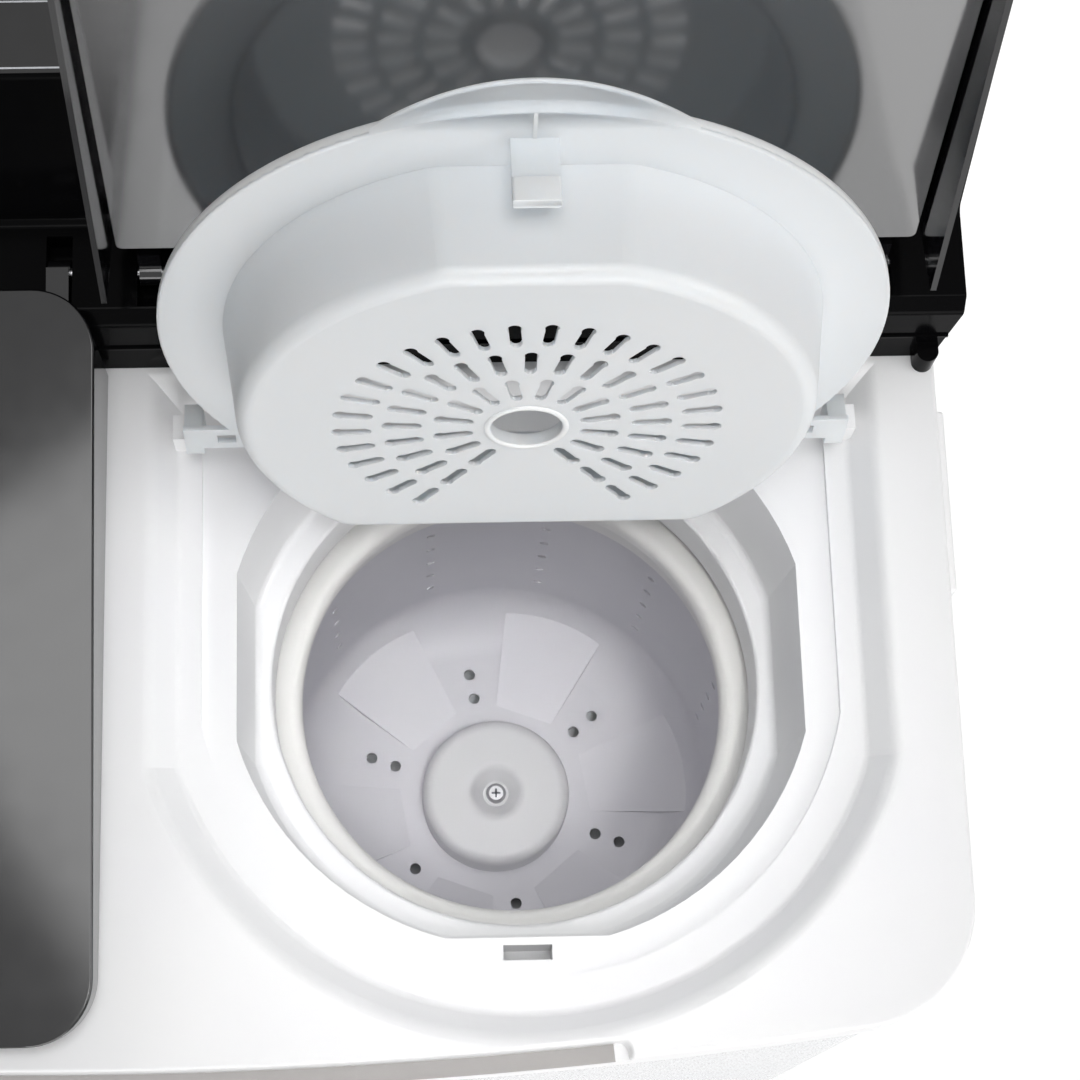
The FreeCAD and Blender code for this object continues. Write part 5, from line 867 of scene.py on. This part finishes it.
@dataclass(frozen=True)
class RearLouvres:
    """The hoods pressed over the vents of the rear cover."""

    face: float = 258.4
    stand: float = 6.2
    centres: tuple[float, ...] = (-200.0, 200.0)
    half_length: float = 38.0
    first: float = 209.0
    pitch: float = 16.0
    rows: int = 9
    rise: float = 10.0
    sheet: float = 0.9
    sharp_deg: float = 50.0
    # A hood's side seen from its end, as shares of how far it stands out and of how high it rises.
    profile: tuple[tuple[float, float], ...] = ((0.0, 1.0), (0.45, 0.86), (0.84, 0.55), (1.0, 0.0), (0.0, 0.0))

    def hood(self, bm: bmesh.types.BMesh, across: float, low: float) -> None:
        """Adds one hood, open below.

        Args:
            bm: the mesh that gets the hood.
            across: its middle.
            low: its open lower edge.
        """
        known = set(bm.verts)
        verts = [bm.verts.new((-self.half_length * MM, out * self.stand * MM, up * self.rise * MM))
                 for out, up in self.profile]
        side = bm.faces.new(verts)
        grown = bmesh.ops.extrude_face_region(bm, geom=[side], use_keep_orig=True)["geom"]
        far = [part for part in grown if isinstance(part, bmesh.types.BMVert)]
        bmesh.ops.translate(bm, vec=(2.0 * self.half_length * MM, 0.0, 0.0), verts=far)
        fresh = [vert for vert in bm.verts if vert not in known]
        faces = list({face for vert in fresh for face in vert.link_faces})
        bmesh.ops.recalc_face_normals(bm, faces=faces)
        hidden = [face for face in faces if face.normal.z < -FACING or face.normal.y < -FACING]
        bmesh.ops.delete(bm, geom=hidden, context="FACES_ONLY")
        shell = [face for face in faces if face.is_valid]
        bmesh.ops.solidify(bm, geom=shell, thickness=self.sheet * MM)
        moved = [vert for vert in bm.verts if vert not in known]
        bmesh.ops.translate(bm, vec=(across * MM, self.face * MM, low * MM), verts=moved)

    def build(self) -> None:
        """Makes both fields of hoods."""
        bm = bmesh.new()
        for across in self.centres:
            for row in range(self.rows):
                self.hood(bm, across, self.first + self.pitch * row)
        make_piece("rear_cover_louvres", bm, Finishes.BASE, Body.CABINET, self.sharp_deg)


@dataclass(frozen=True)
class FingerRecessShade:
    """A grey strip of painted shade on the floor of the front finger recess."""

    bow: float = 3000.0
    front: float = -266.0
    half_length: float = 254.0
    outer: float = 0.4
    inner: float = 9.6
    floor: float = 832.0
    thick: float = 0.8
    steps: int = 32

    def build(self) -> None:
        """Makes the strip of painted shade along the bow of the front."""
        bm = bmesh.new()
        corners = ((self.outer, 0.0), (self.outer, self.thick), (self.inner, self.thick), (self.inner, 0.0))
        verts = [bm.verts.new((0.0, (self.front + inset) * MM, (self.floor + lift) * MM)) for inset, lift in corners]
        edges = [bm.edges.new(pair) for pair in zip(verts, verts[1:] + verts[:1])]
        half = math.asin(self.half_length / self.bow)
        middle = (0.0, (self.front + self.bow) * MM, 0.0)
        bmesh.ops.rotate(bm, cent=middle, matrix=Matrix.Rotation(-half, 3, "Z"), verts=verts)
        bmesh.ops.spin(bm, geom=verts + edges, cent=middle, axis=(0.0, 0.0, 1.0), angle=2.0 * half, steps=self.steps)
        bmesh.ops.holes_fill(bm, edges=[edge for edge in bm.edges if edge.is_boundary])
        # The strip's grey is painted shade for the recess floor.
        make_piece("finger_recess_painted_shade", bm, Finishes.RECESS_SHADE, Body.CABINET)


@dataclass(frozen=True)
class CatchPocket:
    """The blind pocket moulded under the slot that takes the inner lid's hook."""

    middle: tuple[float, float] = (210.0, -197.1)
    half_width: float = 14.4
    half_depth: float = 5.3
    top: float = 828.0
    floor: float = 797.5
    wall: float = 0.8

    def build(self) -> None:
        """Makes the pocket as a box that is open upwards."""
        bm = bmesh.new()
        bmesh.ops.create_cube(bm, size=1.0)
        tall = self.top - self.floor
        bmesh.ops.scale(bm, vec=Vector((2.0 * self.half_width, 2.0 * self.half_depth, tall)) * MM, verts=bm.verts[:])
        bmesh.ops.translate(bm, vec=Vector((*self.middle, self.floor + tall / 2.0)) * MM, verts=bm.verts[:])
        bmesh.ops.recalc_face_normals(bm, faces=bm.faces[:])
        mouth = [face for face in bm.faces if face.normal.z > FACING]
        bmesh.ops.delete(bm, geom=mouth, context="FACES_ONLY")
        bmesh.ops.solidify(bm, geom=bm.faces[:], thickness=self.wall * MM)
        make_piece("catch_pocket", bm, Finishes.DECK, Body.CABINET)


@dataclass(frozen=True)
class LintNet:
    """The fine net behind the slots of the lint filter."""

    edge: float = 6.0
    foot: float = 10.0
    head: float = 20.0
    depth: float = 3.3
    cell: float = 3.0
    thread: float = 0.5

    def build(self) -> None:
        """Makes the net as crossing threads."""
        low, high = (Vector(corner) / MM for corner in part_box("lint_filter"))
        wide = high.x - low.x - 2.0 * self.edge
        tall = high.z - low.z - self.foot - self.head
        bm = bmesh.new()
        bmesh.ops.create_grid(bm, x_segments=round(wide / self.cell), y_segments=round(tall / self.cell), size=0.5)
        bmesh.ops.scale(bm, vec=(wide * MM, tall * MM, 1.0), verts=bm.verts[:])
        bmesh.ops.wireframe(bm, faces=bm.faces[:], thickness=self.thread * MM, use_replace=True,
                            use_boundary=True, use_even_offset=True)
        middle = Vector(((low.x + high.x) / 2.0, low.y + self.depth, low.z + self.foot + tall / 2.0)) * MM
        stand = Matrix.Translation(middle) @ Matrix.Rotation(math.radians(90.0), 4, "X")
        bmesh.ops.transform(bm, matrix=stand, verts=bm.verts[:])
        make_piece("lint_net", bm, Finishes.INNER, Body.LINT_FILTER)


@dataclass(frozen=True)
class ScrewCrossShade:
    """Painted shade for the cross driven into a screw's head: dark bars where its recess is shaded."""

    screw: str
    body: Body
    half_length: float = 3.2
    half_width: float = 0.7
    sunk: float = 0.2
    proud: float = 0.12
    corner: float = 0.3
    edge_round: float = 0.05

    def build(self) -> None:
        """Makes the two dark bars of painted shade for the cross."""
        low, high = (Vector(corner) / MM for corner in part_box(self.screw))
        middle = (low + high) / 2.0
        bm = bmesh.new()
        for long, short in ((self.half_length, self.half_width), (self.half_width, self.half_length)):
            add_plate(bm, (-long, -short, -self.sunk), (long, short, self.proud), self.corner, self.edge_round,
                      corner_steps=2)
        bmesh.ops.translate(bm, vec=Vector((middle.x, middle.y, high.z)) * MM, verts=bm.verts[:])
        # The dark grey base finish here is painted shade in the cross recess.
        make_piece(self.screw + "_cross_shade", bm, Finishes.BASE, self.body)


@dataclass(frozen=True)
class FrameDressing:
    """Gives every solid of the frame its finish."""

    finishes: dict[str, Finish] = field(default_factory=lambda: {
        "base_tray": Finishes.BASE, "feet": Finishes.RUBBER, "cabinet_shell": Finishes.CABINET,
        "rear_cover": Finishes.BASE, "rear_cover_screws": Finishes.ZINC, "top_deck": Finishes.DECK,
        "side_handles": Finishes.DECK, "console_housing": Finishes.CONSOLE, "control_panel": Finishes.PANEL,
        "wash_timer": Finishes.INNER, "wash_timer_knob": Finishes.KNOB, "drain_selector": Finishes.INNER,
        "drain_selector_knob": Finishes.KNOB, "spin_timer": Finishes.INNER, "spin_timer_knob": Finishes.KNOB,
        "water_inlet": Finishes.INNER, "lid_switch": Finishes.INNER, "spin_lid": Finishes.SMOKE,
        "wash_lid": Finishes.SMOKE, "spin_lid_pins": Finishes.STEEL, "wash_lid_pins": Finishes.STEEL,
        "spin_inner_lid": Finishes.FROST, "inner_lid_pins": Finishes.STEEL, "spin_outer_tub": Finishes.TUB,
        "spin_basket": Finishes.BASKET, "balance_ring": Finishes.RING, "basket_cap": Finishes.CAP,
        "cap_screw": Finishes.STEEL, "spin_shaft": Finishes.STEEL, "basket_hub": Finishes.ALUMINIUM,
        "spin_bearing": Finishes.STEEL, "shaft_bellows": Finishes.RUBBER, "brake_drum": Finishes.IRON,
        "spin_motor": Finishes.MOTOR, "spin_motor_plate": Finishes.ZINC, "motor_springs": Finishes.RUBBER,
        "brake_plate": Finishes.ZINC, "brake_lever": Finishes.ZINC, "wash_tub": Finishes.TUB,
        "drain_grille": Finishes.TUB, "pulsator": Finishes.PULSATOR, "pulsator_shaft": Finishes.STEEL,
        "pulsator_screw": Finishes.ZINC, "wash_bearing_housing": Finishes.ALUMINIUM, "wash_pulley": Finishes.INNER,
        "motor_pulley": Finishes.ALUMINIUM, "wash_motor_shaft": Finishes.STEEL, "wash_motor": Finishes.MOTOR,
        "wash_motor_bracket": Finishes.ZINC, "drive_belt": Finishes.RUBBER, "lint_filter": Finishes.TUB,
        "lint_filter_rails": Finishes.TUB, "drain_valve": Finishes.INNER, "drain_plunger": Finishes.INNER,
        "wash_drain_pipe": Finishes.INNER, "spin_drain_pipe": Finishes.INNER, "drain_outlet": Finishes.INNER,
        "cord_gland": Finishes.INNER, "capacitor": Finishes.INNER,
    })

    def build(self) -> int:
        """Puts each finish on its solid.

        Returns:
            How many solids were dressed.
        """
        for name, finish in self.finishes.items():
            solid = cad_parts[name]
            material = finish.material()
            for at in range(len(solid.material_slots)):
                solid.material_slots[at].material = material
        return len(self.finishes)


def main() -> None:
    """Builds the studio and every sub-assembly in order."""
    logging.basicConfig(level=logging.INFO, format="%(name)s: %(message)s")
    bpy.context.scene.view_settings.view_transform = "Standard"
    Studio().build()
    LOG.info("studio ready")
    LOG.info("%d solids dressed", FrameDressing().build())
    InnerLidTrim().build()
    LidLining("spin_lid_lining", Body.SPIN_LID, hinge=(210.0, 162.0, 904.0), turn_deg=-100.0, half_width=215.0).build()
    LidLining("wash_lid_lining", Body.WASH_LID, hinge=(-222.0, 162.0, 904.0), turn_deg=7.0, half_width=208.0).build()
    Dial("wash_timer", Body.WASH_TIMER, across=-330.0, ticks=16, first_deg=150.0, last_deg=-150.0).build()
    Dial("drain_selector", Body.DRAIN_DIAL, across=-130.0, ticks=3, first_deg=45.0, last_deg=-45.0).build()
    Dial("spin_timer", Body.SPIN_TIMER, across=210.0, ticks=6, first_deg=150.0, last_deg=-150.0).build()
    FasciaTrim().build()
    RearLouvres().build()
    FingerRecessShade().build()
    CatchPocket().build()
    LintNet().build()
    ScrewCrossShade("cap_screw", Body.SPIN_ROTOR).build()
    ScrewCrossShade("pulsator_screw", Body.PULSATOR).build()


if __name__ == "__main__":
    main()
